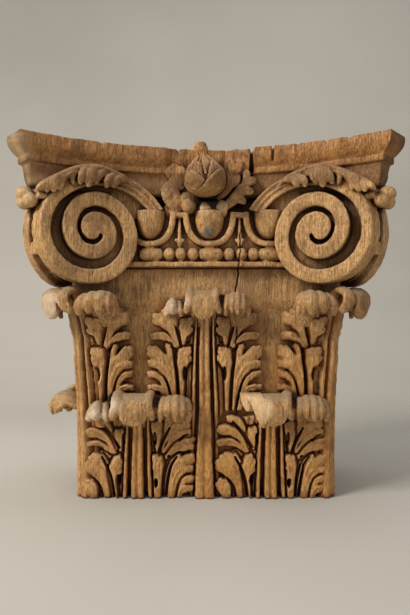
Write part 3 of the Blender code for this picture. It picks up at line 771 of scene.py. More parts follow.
def volute_leaf(turn, hand, voxel):
    """The leaf laid over a volute; the ones at the sides are plainer."""
    body = Body()
    place = volute_plan(turn, hand)
    plain = turn != 0
    for i, finger in enumerate(VOLUTE_LEAFLETS):
        if plain and i % 3 == 1:
            continue
        points = np.array(finger[:4]) + rng.normal(0, 0.4, (4, 3))
        blade(body, place, points, finger[4] * (1.3 if plain else 1), thick=4, foot=6, crown=2.2, root=0.6,
              tip=0.35, groove=0.5)
    crest = ((-46, -4, 48), (-33, 2, 58), (-16, 4, 64), (0, 5, 66), (18, 4, 62.5), (36, 4, 53), (50, 5, 44),
             (58, 7, 37))
    blade(body, place, crest, 3.4, thick=12, foot=2, crown=2.6, root=0.8, tip=0.08, steps=44)
    rim = ((10, 3, 62), (22, 6, 57.5), (30, 6, 52), (33, 5, 45))
    blade(body, place, rim, 1.7, thick=5, foot=3, crown=1.4, root=0.8, tip=0.2)
    carve(body, f"volute_leaf_{SIDES[turn]}_{'a' if hand < 0 else 'b'}", voxel, soften=2, keep=0.5)


def horn_ball(hand):
    """The small lobed ball under a horn of the abacus."""
    body = Body()

    def place(p):
        return world(hand * (BALL_AT + p[..., 0]), -(BALL_AT + p[..., 1]), BALL_Z + p[..., 2])

    ball(body, place, (1, 1, 3), 9.5, (1, 1, 0.85))
    ball(body, place, (-6, 4, -4), 8.0, (1, 1, 0.95))
    ball(body, place, (4, -6, -4), 8.0, (1, 1, 0.95))
    ball(body, place, (1.5, 1.5, -6), 6.5)
    ball(body, place, (-12, -12, 3), 12.0)
    for points in (((-14, 6, 4), (-18, 3, 3), (-24, 0, 2)), ((6, -14, 4), (3, -18, 3), (0, -24, 2))):
        blade(body, place, points, 4.0, thick=6, crown=2, root=1, tip=0.3, face=(0, 0, 1))
    carve(body, f"horn_ball_{SIDES[hand]}", 0.9)


# ---------------------------------------------------------------- abacus

ABACUS_PROFILE = (  # (height, set-back of the hollow sides, set-back of the cut corners)
    (390.0, 1.6, 1.6), (389.7, 0.7, 0.7), (388.8, 0.2, 0.2), (387.0, 0.1, 0.1), (384.5, 0.0, 0.0),
    (381.5, 0.2, 0.5), (378.5, 0.8, 1.6), (375.5, 1.9, 3.6), (372.5, 3.4, 6.2), (370.2, 4.8, 8.4),
    (368.7, 5.9, 10.2), (368.2, 6.1, 10.6), (367.6, 6.0, 10.4), (362.6, 6.0, 10.4), (361.9, 6.4, 10.9),
    (361.4, 8.0, 12.4), (360.4, 9.0, 13.4), (357.0, 9.9, 14.4), (353.0, 10.3, 15.0), (349.0, 10.5, 15.5),
    (345.0, 11.2, 16.2), (341.5, 12.2, 17.2), (338.0, 13.5, 18.4),
)


def hollow_side(along, set_back):
    deep = HORN - HOLLOW * (1 - (along / HORN_END) ** 2)
    slope = 2 * HOLLOW * along / HORN_END**2
    away = np.sqrt(1 + slope**2)
    return along + set_back * slope / away, deep - set_back / away


def abacus():
    """The abacus, as one loft of rings with hollow sides, cut corners and broken front."""
    t = np.linspace(0, 1, 200) ** 0.9
    rings = []
    for z, side_back, corner_back in ABACUS_PROFILE:
        cut = HORN + HORN_END - math.sqrt(2) * corner_back
        low, high = 0.0, HORN
        for _ in range(40):
            middle = (low + high) / 2
            if sum(hollow_side(middle, side_back)) < cut:
                low = middle
            else:
                high = middle
        a, d = hollow_side(low * t, side_back)
        front_a = np.concatenate([-a[::-1], a[1:]])
        front_d = np.concatenate([d[::-1], d[1:]])
        rough = broken(front_a, z)
        front = np.stack([front_a, front_d - rough[0], np.full(len(front_a), z) - rough[1]], -1)
        left = [(-d[k], a[k], z) for k in range(0, len(a), 4)]
        left = np.array([(-d[0], -20.0, z)] + left + [(-d[-1], a[-1], z)])
        right = left[::-1] * (-1, 1, 1)
        corner = [0.5 * (left[-1] + front[0])]
        ring = np.vstack([left, corner, front, [0.5 * (right[0] + front[-1])], right])
        rings.append(world(ring[:, 0], -ring[:, 1], ring[:, 2]))
    body = Body()
    body.rings(np.array(rings), hollow=True)
    obj = body.make("abacus")
    mesh = obj.data
    co = points_of(mesh)
    co[:, 1] += 0.35 * ripple(co * (1, 1, 3), 14.0, 5) * MM * (co[:, 1] < 0.06)
    co[:, 2] -= 0.5 * np.abs(ripple(co * (1, 1, 0), 22.0, 6)) * MM * (co[:, 2] > 0.3895)
    move_to(mesh, co)
    finish_piece(obj)


# Bites out of the abacus's front edge: place across, half width, depth and how far down they go
BITES = (
    (51.5, 2.2, 9.0, 362), (73.5, 1.4, 5.0, 374), (99.0, 2.6, 2.2, 382), (-31.0, 2.0, 1.6, 384),
    (27.0, 1.6, 2.0, 384), (-112.0, 2.6, 1.2, 385), (128.0, 2.0, 1.6, 386), (150.0, 3.0, 1.0, 386),
)


def broken(a, z):
    """How far the front of the abacus is worn back and down where pieces have come away."""
    upper = clamp((z - 359.5) / 2.5)
    middle = clamp((a + 45) / 7.0) * clamp((52.5 - a) / 2.0)
    middle = middle * np.interp(a, (-10, 10), (0.6, 1))
    spot = np.stack([a, np.full_like(a, z * 0.6), 0 * a], -1) * MM
    back = middle * upper * (6.5 + 1.0 * ripple(spot, 9.0, 21) + 0.8 * ripple(spot, 26.0, 22))
    back = back + upper * 0.35 * (1 + ripple(spot, 7.0, 23)) * (z > 380)
    down = np.zeros_like(a)
    for centre, half, deep, floor in BITES:
        bite = clamp(1.3 - np.abs(a - centre) / half) * clamp((z - floor) / 2.0)
        back = back + bite * deep
        down = down + bite * min(deep, 3.0) * (z > 380)
    return back, down


# ---------------------------------------------------------------- echinus

def egg(body, place, a, fine):
    rows = ((319.0, 0.97), (318.0, 1.0), (311, 1.0), (306, 0.965), (300.5, 0.89), (295, 0.76), (291, 0.58),
            (288.2, 0.38), (286.6, 0.16))
    rings = []
    for z, w in rows:
        angle = np.linspace(0, math.pi, 18 if fine else 10)
        wide = np.sign(np.cos(angle)) * np.abs(np.cos(angle)) ** 0.85
        deep = np.sin(angle) ** 0.85
        out = -3.0 + (EGG_OUT * w + 3.0) * deep
        rings.append(np.stack([a - EGG_HALF * w * wide, out, np.full(len(angle), z)], -1))
    sweep(body, place, rings)


def shell(body, place, a, fine):
    """The raised frame that runs down one side of an egg, under it and up the other."""
    rings = []
    for angle in np.linspace(0, math.pi, 41 if fine else 19):
        ring = []
        x = math.copysign(abs(math.cos(angle)) ** 0.8, math.cos(angle))
        y = math.sin(angle) ** 0.86
        for grow, out in ((0.0, -3), (0.0, 7.4), (-0.8, 8.8), (-3.4, 9.6), (-6.0, 8.8), (-6.8, 7.4),
                          (-6.8, -3)):
            ring.append((a + (29.6 + grow) * x, out, 317.6 - (38.6 + 0.95 * grow) * y))
        rings.append(ring)
    sweep(body, place, rings)


def dart(body, place, a):
    for points, width in (
        ([(a, 2, 314), (a, 5, 303), (a, 6, 292), (a, 5, 281)], 2.0),
        ([(a, 3, 291), (a - 2, 6, 286), (a - 5.2, 5, 288)], 1.9),
        ([(a, 3, 291), (a + 2, 6, 286), (a + 5.2, 5, 288)], 1.9),
        ([(a, 3, 292), (a, 7, 286), (a, 5, 279)], 2.8),
    ):
        blade(body, place, points, width, thick=5, foot=3, crown=1.6, root=0.8, tip=0.3, steps=14, across=7)


def bead(body, place, a, half):
    rings = []
    for s in np.linspace(-1, 1, 13):
        w = math.sqrt(max(1 - abs(s) ** (2.6 if half < 8 else 5), 0.02))
        angle = np.linspace(0, 2 * math.pi, 14, endpoint=False)
        rings.append(np.stack([np.full(14, a + half * s), 3.5 + BEAD_RADIUS * w * np.sin(angle),
                               BEAD_Z + BEAD_RADIUS * w * np.cos(angle)], -1))
    sweep(body, place, rings)


def echinus(turn):
    """The lip on one face: its moulding, eggs, shells, darts and beads."""
    body = Body()
    fine = turn == 0

    def place(p):
        return on_face(turn, p[..., 0], LIP + p[..., 1], p[..., 2] + LIP_LIFT)

    ends = (-LIP, LIP) if fine else ((-30.0, LIP) if turn < 0 else (-LIP, 30.0))
    steps = np.linspace(ends[0], ends[1], 60)
    section = ((-30, 257), (7.0, 257.2), (7.4, 258.2), (7.4, 261.6), (6.8, 262.6), (1.5, 263.2), (0.8, 265),
               (0.2, 276), (0.6, 280), (0.6, 288), (-1.5, 300), (-2, 317), (-30, 317))
    wave = 0.35 * np.sin(steps * 0.21) + 0.2 * np.sin(steps * 0.77)
    sweep(body, place, [[(a, n + w, z + 0.4 * w) for n, z in section] for a, w in zip(steps, wave)])
    for step in (-1, 0, 1):
        if turn * step > 0:
            continue
        a = step * EGG_PITCH + (EGG_SHIFT if fine else 0.0) + (rng.normal(0, 0.5) if fine else 0)
        egg(body, place, a, fine)
        shell(body, place, a, fine)
        if not fine:
            continue
        bead(body, place, a + 1.6, 14.3)
        if step < 1:
            mid = a + EGG_PITCH / 2
            dart(body, place, mid)
            for k in (-1, 0, 1):
                bead(body, place, mid + 1.6 + 13.6 * k + rng.normal(0, 0.4), 6.3 + rng.normal(0, 0.25))
            bar = ((-3, 311.5), (7.6, 311.5), (8.8, 313), (8.8, 317), (-3, 318))
            sweep(body, place, [[(mid + x, n, z) for n, z in bar] for x in (-7.0, -3.5, 0.0, 3.5, 7.0)])
    if not fine:
        dart(body, place, -turn * EGG_PITCH / 2)
        for k in range(5):
            bead(body, place, -turn * (12.0 + 26.0 * k), 12.0)
    obj = carve(body, f"echinus_{SIDES[turn]}", 0.8 if fine else 1.3, soften=1, keep=0.6 if fine else 0.4)
    if fine:
        split(obj, 3.0)


def split(obj, deep, floor=0.0):
    """Continues the bell's crack through a piece of the front, down to a height."""
    mesh = obj.data
    co = points_of(mesh)
    away = np.abs(co[:, 0] / MM - crack_line(co[:, 2] / MM))
    low = clamp((302 - co[:, 2] / MM) / 8) * clamp((co[:, 2] / MM - floor) / 8)
    co[:, 1] += deep * clamp(1.5 - away / 0.7) * low * MM
    move_to(mesh, co)


# ---------------------------------------------------------------- bud

BUD_AT = (-1.0, -168.0, 352.0)
BUD = ((-20, 4.0), (-18, 10.5), (-14, 16.0), (-8, 20.3), (-2, 21.6), (5, 21.0), (11, 18.2), (17, 14.0),
       (23, 9.5), (28, 7.2), (33, 6.5), (37, 5.5), (37.6, 3))  # (height, radius)
# The bud's rows of scales, from the inmost out: (first bearing, how many, foot, tip, half width, level)
BUD_ROWS = ((-20.0, 7, 4.0, 29.0, 4.4, -2.4), (6.0, 7, -2.0, 22.5, 6.0, -1.6),
            (-22.0, 7, -12.0, 14.0, 7.6, -0.6), (-43.0, 4, -26.0, 5.0, 18.0, 1.0))


SPRIGS = (  # what is left of the leaves behind the bud: path, half width
    (((-22, 12, 321), (-33, 16, 328), (-40, 17, 340), (-41, 14, 356)), 10.5),
    (((-30, 13, 330), (-40, 17, 337), (-45, 16, 344), (-48, 12, 352)), 6.0),
    (((-29, 13, 346), (-33, 17, 356), (-35, 18, 365), (-37, 18, 374)), 8.5),
    (((-30, 15, 353), (-38, 18, 360), (-42, 18, 366), (-46, 16, 371)), 5.0),
    (((-26, 16, 352), (-27, 19, 362), (-28, 19, 371)), 4.6),
    (((14, 14, 322), (25, 21, 328), (34, 25, 337), (44, 23, 352)), 5.6),
    (((28, 18, 330), (36, 24, 332), (41, 24, 331), (44, 20, 328)), 4.2),
    (((34, 20, 336), (43, 25, 340), (48, 25, 342), (52, 20, 343)), 4.6),
    (((38, 20, 344), (46, 25, 350), (51, 25, 354), (54, 20, 358)), 4.8),
    (((38, 20, 342), (44, 25, 352), (45, 25, 360), (43, 21, 366)), 4.4),
    (((14, 14, 334), (24, 24, 344), (27, 26, 354), (25, 23, 364)), 4.8),
    (((22, 18, 344), (31, 25, 350), (34, 25, 356), (34, 21, 362)), 4.2),
    (((20, 18, 352), (28, 25, 362), (28, 25, 370), (25, 22, 377)), 4.8),
    (((24, 18, 356), (34, 25, 364), (37, 25, 371), (36, 22, 378)), 4.0),
    (((0, 10, 311), (0, 19, 316), (-1, 23, 322), (-2, 18, 331)), 6.4),
    (((15, 10, 311), (17, 20, 317), (18, 24, 324), (17, 18, 333)), 6.6),
    (((-24, 8, 318), (-38, 12, 318), (-42, 13, 322), (-44, 11, 330)), 6.0),
)


def bud_relief(bearing, z, radius):
    """How far the bud's overlapping scales stand out from its round body."""
    out = np.full(z.shape, -3.4)
    for first, count, foot, tip, half, level in BUD_ROWS:
        for k in range(count):
            turn = first + 360 / count * k + rng.normal(0, 2.0)
            up = clamp((z - foot) / (tip + rng.normal(0, 0.8) - foot))
            wide = half * np.maximum(1 - up**2.6, 0) ** 0.7
            across = np.radians((bearing - turn + 180) % 360 - 180) * radius
            edge = wide - np.abs(across)
            here = (edge > 0) & (z > foot)
            vein = 0.7 * np.exp(-((across / 0.7) ** 2))
            scale = level + 1.5 * clamp(edge / 3.0) ** 0.5 - vein - 0.5 * up
            beside = (edge > -1.3) & (z > foot)
            out = np.where(here, scale, np.where(beside, np.minimum(out, level - 3.2), out))
    return out


def fleuron():
    """The bud in the middle of the front, and what is left of its leaves."""
    body = Body()
    heights, radii = np.array(BUD, float).T

    def place(p):
        return world(BUD_AT[0] + p[..., 0], BUD_AT[1] - p[..., 1], BUD_AT[2] + p[..., 2])

    z, bearing = np.meshgrid(np.linspace(-20, 37.6, 96), np.linspace(-180, 180, 200, endpoint=False),
                             indexing="ij")
    radius = np.interp(z, heights, radii)
    shown = clamp((28 - z) / 5) * np.clip((z + 20) / 4, 0.3, 1)
    radius = radius + bud_relief(bearing, z, radius) * shown
    angle = np.radians(bearing)
    lean = -0.16 * np.maximum(z - 8, 0)
    sweep(body, place, np.stack([lean + radius * np.sin(angle), radius * np.cos(angle), z], -1))
    tip = [(-1.5, -1, 14), (-3.5, 0, 24), (-5.5, 1, 31), (-5.0, 2, 37.5)]
    blade(body, place, tip, 6.6, thick=7, crown=2.2, root=0.75, tip=0.08, steps=16)
    ridge = [(2.0, 3, 16), (-0.5, 5, 22), (-2.5, 5, 29)]
    blade(body, place, ridge, 2.8, thick=5, crown=1.8, root=0.8, tip=0.4)

    def wall(p):
        return on_face(0, p[..., 0], 130.0 + p[..., 1], p[..., 2])

    for points, width in SPRIGS:
        points = np.array(points, float) + rng.normal(0, 0.5, (len(points), 3))
        blade(body, wall, points, width, thick=4, foot=14, crown=1.8, root=0.6, tip=0.4, groove=0.8)
    ball(body, wall, (-19, 20, 325.5), 8.6)
    ball(body, wall, (-35, 7, 320), 10.0, (1.2, 1, 0.8))
    ball(body, wall, (-22, 7, 333), 12.0, (1.2, 1, 1))
    blockage = [[(19, 4, 359), (50, 4, 359), (47, 21, 360), (21, 22, 360)],
                [(20, 4, 388.5), (51, 4, 387.5), (49, 19, 387), (22, 19, 388)]]
    body.rings(wall(np.array(blockage, float)))
    carve(body, "fleuron", 0.62, soften=1, keep=0.5, wear=0.25)


# ---------------------------------------------------------------- bell

def crack_line(z):
    """The crack's place across the front of the bell at each height."""
    return np.interp(z, *CRACK) + 0.5 * np.sin(z * 0.21) + 0.3 * np.sin(z * 0.53)


def bell():
    """The ground behind the leaves: its front is one skin with the crack and the strokes of the gouge."""
    z = np.linspace(0, 258, 130)
    near = np.array([-6, -3, -1.4, -0.75, -0.4, 0, 0.4, 0.75, 1.4, 3, 6])
    gap = np.array([0, 0, 0, 0.3, 1, 1, 1, 0.3, 0, 0, 0]) * CRACK_DEPTH
    rings = []
    for height in z:
        crack = crack_line(height)
        edge = CORE - 6.0
        front = np.concatenate([np.linspace(-edge, crack - 9, 70), crack + near,
                                np.linspace(crack + 9, edge, 46)])
        out = np.full(len(front), CORE)
        out[70:81] -= gap * np.clip((height - 60) / 60, 0.25, 1)
        out += GROUND * clamp((222 - height) / 14) * clamp((edge - 2 - np.abs(front)) / 3)
        for centre, low, high in ((-1.5, 118, 198), (-LOWER_A, 8, 84), (LOWER_B, 8, 84)):
            behind = clamp((31 - np.abs(front - centre)) / 3)
            out -= 6.0 * behind * clamp(min(height - low, high - height) / 3)
        flat = [(x, -d, height) for x, d in zip(front, out)]
        flare = float(np.interp(height, *CORNER_FLARE))
        corner = []
        for t in (0.15, 0.35, 0.5, 0.65, 0.85):
            angle = t * math.pi / 2
            reach = 6.0 + flare * math.sin(2 * angle)
            corner.append((edge + reach * math.sin(angle), -(edge + reach * math.cos(angle)), height))
        side_y = np.linspace(-edge, 0, 14)
        side = [(CORE, y, height) for y in side_y]
        right = corner + side
        left = [(-x, y, h) for x, y, h in right][::-1]
        rings.append(left + flat + right)
    ring = np.array(rings)
    body = Body()
    body.rings(world(ring[..., 0], ring[..., 1], ring[..., 2]), hollow=True)
    body.rings(world(*np.array([[(-120, -120, z), (120, -120, z), (120, 2, z), (-120, 2, z)]
                                for z in (258.0, 340.0)]).transpose(2, 0, 1)))
    obj = body.make("bell")
    mesh = obj.data
    co = points_of(mesh)
    front = co[:, 1] < (BACK - CORE + 1.5) * MM
    strokes = 0.45 * ripple(co * (1, 1, 0.35), 11.0, 7) + 0.35 * ripple(co, 30.0, 8)
    co[:, 1] += np.where(front, strokes, 0) * MM
    move_to(mesh, co)
    finish_piece(obj, inset=0.0)


# ---------------------------------------------------------------- wood

class Nodes:
    """A short way to write a node tree."""

    def __init__(self, material):
        material.use_nodes = True
        self.tree = material.node_tree
        self.shader = self.tree.nodes["Principled BSDF"]
        self.colour = None

    def put(self, node, key, value):
        if isinstance(value, bpy.types.NodeSocket):
            self.tree.links.new(value, node.inputs[key])
        else:
            node.inputs[key].default_value = value

    def add(self, kind, inputs=(), **settings):
        node = self.tree.nodes.new(kind)
        for key, value in settings.items():
            setattr(node, key, value)
        for key, value in dict(inputs).items():
            self.put(node, key, value)
        return node

    def math(self, operation, a, b=0.0, clamp=False):
        return self.add("ShaderNodeMath", {0: a, 1: b}, operation=operation, use_clamp=clamp).outputs[0]

    def times(self, a, b):
        return self.math("MULTIPLY", a, b)

    def most(self, a, b):
        return self.math("MAXIMUM", a, b)

    def mix(self, factor, a, b, blend="MIX"):
        node = self.add("ShaderNodeMix", {0: factor}, data_type="RGBA", blend_type=blend)
        for key, value in ((6, a), (7, b)):
            self.put(node, key, (*value, 1.0) if isinstance(value, tuple) else value)
        return node.outputs[2]

    def paint(self, factor, shade, blend="MIX"):
        """Lays a shade over the colour so far."""
        self.colour = self.mix(factor, self.colour, shade, blend)

    def span(self, value, low, high, out_low=0.0, out_high=1.0):
        """Goes smoothly from out_low to out_high as the value goes from low to high."""
        return self.add("ShaderNodeMapRange", {0: value, 1: low, 2: high, 3: out_low, 4: out_high},
                        interpolation_type="SMOOTHSTEP").outputs[0]

    def parts(self, vector):
        return self.add("ShaderNodeSeparateXYZ", {0: vector}).outputs

    def openness(self, distance):
        """1 where nothing else lies within this many metres, less in hollows."""
        return self.add("ShaderNodeAmbientOcclusion", {"Distance": distance}, samples=8).outputs["AO"]

    def noise(self, vector, scale, detail=3.0, rough=0.55, distort=0.0):
        return self.add("ShaderNodeTexNoise", {"Vector": vector, "Scale": scale, "Detail": detail,
                                               "Roughness": rough, "Distortion": distort}).outputs[0]

    def stretched(self, vector, way):
        return self.add("ShaderNodeVectorMath", {0: vector, 1: way}, operation="MULTIPLY").outputs[0]

    def near(self, vector, point, full, none):
        """1 within full metres of a point, 0 beyond none."""
        away = self.add("ShaderNodeVectorMath", {0: vector, 1: point}, operation="DISTANCE").outputs[1]
        return self.span(away, none, full)


OAK_MID = (0.480, 0.240, 0.078)
OAK_PALE = (0.730, 0.425, 0.165)
OAK_DARK = (0.150, 0.060, 0.016)
# colours of dirt and painted shade in the hollows, and the near black of the deepest painted shade
CREVICE = (0.170, 0.040, 0.002)
DEEP_SHADE = (0.030, 0.008, 0.001)
# painted shade colour, red brown, for the hollows
RECESS_SHADE_RED = (0.300, 0.090, 0.014)
RUSTY = (0.330, 0.125, 0.028)
# pale of rubbed edges, also used for a painted highlight
WEAR_AND_HIGHLIGHT = (0.700, 0.480, 0.250)
DUST = (0.345, 0.252, 0.150)
ORANGE = (0.540, 0.255, 0.055)
FRESH = (0.820, 0.560, 0.300)
BLEACHED = (0.720, 0.560, 0.390)
STAIN = (0.130, 0.130, 0.110)
BLEACHED_SPOTS = (  # parts that have lost their wax: place and the radii where this is full and ends
    ((-0.119, -0.097, 0.099), 0.010, 0.018), ((-0.100, -0.098, 0.108), 0.004, 0.014),
    ((-0.040, -0.090, 0.214), 0.008, 0.015), ((-0.020, -0.092, 0.218), 0.003, 0.010),
    ((-0.167, -0.090, 0.212), 0.014, 0.024),
)
PALE_SPOTS = (  # and parts made pale: a painted highlight on the left horn, then parts rubbed pale
    ((-0.205, -0.122, 0.374), 0.010, 0.036), ((-0.001, -0.080, 0.323), 0.005, 0.011),
    ((0.018, -0.081, 0.324), 0.005, 0.011), ((-0.180, -0.108, 0.330), 0.010, 0.026),
)
DARK_SPOTS = (  # where the bell has darkened, and how much
    ((0.046, -0.066, 0.205), 0.012, 0.052, 0.42), ((0.050, -0.070, 0.245), 0.008, 0.040, 0.30),
    ((0.000, -0.076, 0.345), 0.018, 0.034, 0.35),
)
LEAF_EYE_SHADE = (  # painted shade in the eyes of the leaves' curled tips: x and z
    (-0.1035, 0.106), (-0.0525, 0.109), (0.0965, 0.109), (-0.024, 0.221), (0.018, 0.221), (-0.127, 0.222),
    (0.127, 0.222),
)
END_GRAIN_PITH = (0.06, 0.32, 0.0)  # the middle of the growth rings that show on the sawn top
ABACUS_SHADE_TINT = (0.76, 0.62, 0.42)  # painted shade: the abacus is made darker and redder from its upper hollow up


def oak():
    """Old waxed oak: grain, soiling and painted shade in the hollows, painted shade on the abacus, dust,
    worn edges, a painted highlight and end grain on top.
    """
    material = bpy.data.materials.new("carved_oak")
    n = Nodes(material)
    place = n.add("ShaderNodeTexCoord").outputs["Object"]
    grain_place = n.stretched(place, (1.0, 1.0, 0.06))
    grain = n.noise(grain_place, 620.0, 4.0, 0.6, 0.3)
    fine = n.noise(n.stretched(place, (1.0, 1.0, 0.09)), 1500.0, 2.0, 0.6)
    patches = n.noise(place, 34.0, 4.0, 0.62)
    broad = n.noise(n.stretched(place, (1, 1, 0.6)), 9.0, 2.0)
    rings = n.noise(n.stretched(place, (1.0, 1.0, 0.04)), 150.0, 2.0, 0.5, 0.6)
    mottle = n.noise(place, 130.0, 3.0, 0.6)

    n.colour = n.mix(n.span(grain, 0.26, 0.68), OAK_DARK, OAK_PALE)
    n.paint(0.3, OAK_MID)
    n.paint(n.span(rings, 0.38, 0.68, 0.0, 0.5), OAK_PALE)
    n.paint(n.span(patches, 0.45, 0.72, 0.0, 0.62), OAK_DARK)
    n.paint(n.span(mottle, 0.5, 0.75, 0.0, 0.45), OAK_PALE)
    speckle = n.noise(place, 420.0, 3.0, 0.65)
    n.paint(n.span(speckle, 0.50, 0.70, 0.0, 0.5), OAK_DARK)
    across, depth, height = n.parts(place)
    # painted shade: the abacus's hollow under the ovolo is darkened
    hollow = n.times(n.span(height, 0.334, 0.345), n.span(height, 0.364, 0.360))
    n.paint(n.times(hollow, 0.68), OAK_DARK)
    low_zone = n.times(n.span(height, 0.24, 0.06), n.span(broad, 0.3, 0.65, 0.2, 0.65))
    low_zone = n.times(low_zone, n.span(depth, -0.092, -0.078))
    low_zone = n.times(low_zone, n.span(n.math("ABSOLUTE", across), 0.152, 0.143))
    n.paint(low_zone, ORANGE)
    blotches = n.times(low_zone, n.span(n.noise(place, 52.0, 4.0, 0.6), 0.50, 0.66, 0.0, 1.3))
    n.paint(blotches, RUSTY)
    pores = n.span(fine, 0.36, 0.46, 1.0, 0.0)
    n.paint(n.times(pores, 0.5), OAK_DARK)

    surface = n.add("ShaderNodeNewGeometry").outputs
    level = n.parts(surface["Normal"])[2]
    sawn = n.times(n.span(height, 0.3845, 0.3860), n.span(level, 0.85, 0.95))
    from_pith = n.add("ShaderNodeVectorMath", {0: place, 1: END_GRAIN_PITH}, operation="SUBTRACT").outputs[0]
    waves = {"Vector": from_pith, "Scale": 34.0, "Distortion": 1.6, "Detail": 2.0, "Detail Scale": 1.2}
    years = n.add("ShaderNodeTexWave", waves, wave_type="RINGS", rings_direction="Z").outputs[1]
    cut_end = n.mix(n.span(years, 0.1, 0.9, 0.35, 1.0), OAK_DARK, OAK_MID)
    cut_end = n.mix(n.span(grain, 0.3, 0.7, 0.1, 0.6), cut_end, OAK_PALE)
    n.paint(n.times(sawn, 0.75), cut_end)
    # painted shade over the upper abacus
    n.paint(n.span(height, 0.352, 0.364), ABACUS_SHADE_TINT, "MULTIPLY")
    curled = n.times(n.span(depth, -0.082, -0.094), n.span(height, 0.25, 0.235, 0.0, 0.22))
    n.paint(curled, OAK_DARK)
    fresh = n.math("ADD", n.near(place, (0.056, -0.094, 0.104), 0.013, 0.020),
                   n.near(place, (0.046, -0.086, 0.108), 0.006, 0.016), clamp=True)
    fresh = n.times(fresh, n.span(grain, 0.25, 0.6, 0.5, 1.0))
    n.paint(n.times(fresh, 0.92), FRESH)
    for spot, full, none in BLEACHED_SPOTS:
        bleached = n.times(n.near(place, spot, full, none), n.span(patches, 0.3, 0.6, 0.4, 0.85))
        n.paint(bleached, BLEACHED)
    # the first spot is a painted highlight on the left horn, the others are rubbed pale
    for spot, full, none in PALE_SPOTS:
        rubbed_and_lit = n.times(n.near(place, spot, full, none), n.span(patches, 0.3, 0.6, 0.5, 0.9))
        n.paint(rubbed_and_lit, WEAR_AND_HIGHLIGHT)
    stain = n.near(place, (0.003, -0.083, 0.294), 0.005, 0.011)
    n.paint(n.times(stain, n.span(mottle, 0.3, 0.5, 0.5, 1.0)), STAIN)

    for spot, full, none, strength in DARK_SPOTS:
        n.paint(n.times(n.near(place, spot, full, none), strength), OAK_DARK)

    dusty = n.times(n.span(level, 0.2, 0.9), n.span(patches, 0.25, 0.6, 0.35, 0.8))
    dusty = n.times(dusty, n.span(height, 0.345, 0.33, 0.45, 1.0))
    open_near = n.openness(0.009)
    dusty = n.times(dusty, n.span(open_near, 0.5, 0.85))
    n.paint(dusty, DUST)

    point = surface["Pointiness"]
    worn = n.times(n.span(point, 0.505, 0.59), n.span(mottle, 0.25, 0.6, 0.3, 0.85))
    worn = n.times(n.times(worn, n.span(depth, 0.0735, 0.0715)), n.span(sawn, 1.0, 0.0))
    n.paint(worn, WEAR_AND_HIGHLIGHT)
    groove = n.span(point, 0.49, 0.42)
    open_far = n.openness(0.030)
    # painted shade: hollows are reddened the less open they are
    warm_shade = n.span(open_near, 0.95, 0.45)
    n.paint(n.times(warm_shade, 0.7), RECESS_SHADE_RED)
    # dirt and painted shade: the less open a place or the deeper its groove, the darker
    grime_and_shade = n.most(n.span(open_near, 0.62, 0.12), n.times(n.span(open_far, 0.62, 0.16), 0.9))
    grime_and_shade = n.most(grime_and_shade, n.times(groove, 0.6))
    dirt_and_shade = n.mix(n.span(height, 0.225, 0.24), CREVICE, DEEP_SHADE)
    n.paint(n.times(grime_and_shade, n.span(height, 0.225, 0.24, 0.84, 0.96)), dirt_and_shade)
    # painted shade: near black in the most closed hollows
    deepest_shade = n.most(n.span(open_near, 0.27, 0.10, 0.0, 0.9), n.span(open_far, 0.24, 0.09, 0.0, 0.95))
    n.paint(deepest_shade, DEEP_SHADE)
    behind = n.span(depth, -0.085, -0.078, 0.0, 0.9)
    # painted shade in the eyes of the curled tips
    for x, z in LEAF_EYE_SHADE:
        eye = n.times(n.near(place, (x, -0.076, z), 0.009, 0.0135), behind)
        n.paint(eye, DEEP_SHADE)
    n.put(n.shader, "Base Color", n.colour)

    rough = n.math("ADD", n.span(grain, 0.3, 0.7, 0.56, 0.46), n.times(grime_and_shade, 0.25))
    rough = n.math("ADD", rough, n.times(dusty, 0.25), clamp=True)
    n.put(n.shader, "Roughness", rough)
    n.put(n.shader, "Specular IOR Level", 0.4)

    strokes = n.noise(n.stretched(place, (1, 1, 0.5)), 230.0, 2.0)
    gouged = n.add("ShaderNodeBump", {"Strength": n.span(sawn, 0.0, 1.0, 0.7, 0.06), "Distance": 0.0016,
                                      "Height": strokes}).outputs[0]
    fibres = n.math("ADD", grain, n.times(pores, -0.6))
    n.put(n.shader, "Normal", n.add("ShaderNodeBump", {
        "Strength": n.span(sawn, 0.0, 1.0, 0.8, 0.3), "Distance": 0.0009, "Height": fibres, "Normal": gouged,
    }).outputs[0])
    return material


# ---------------------------------------------------------------- studio

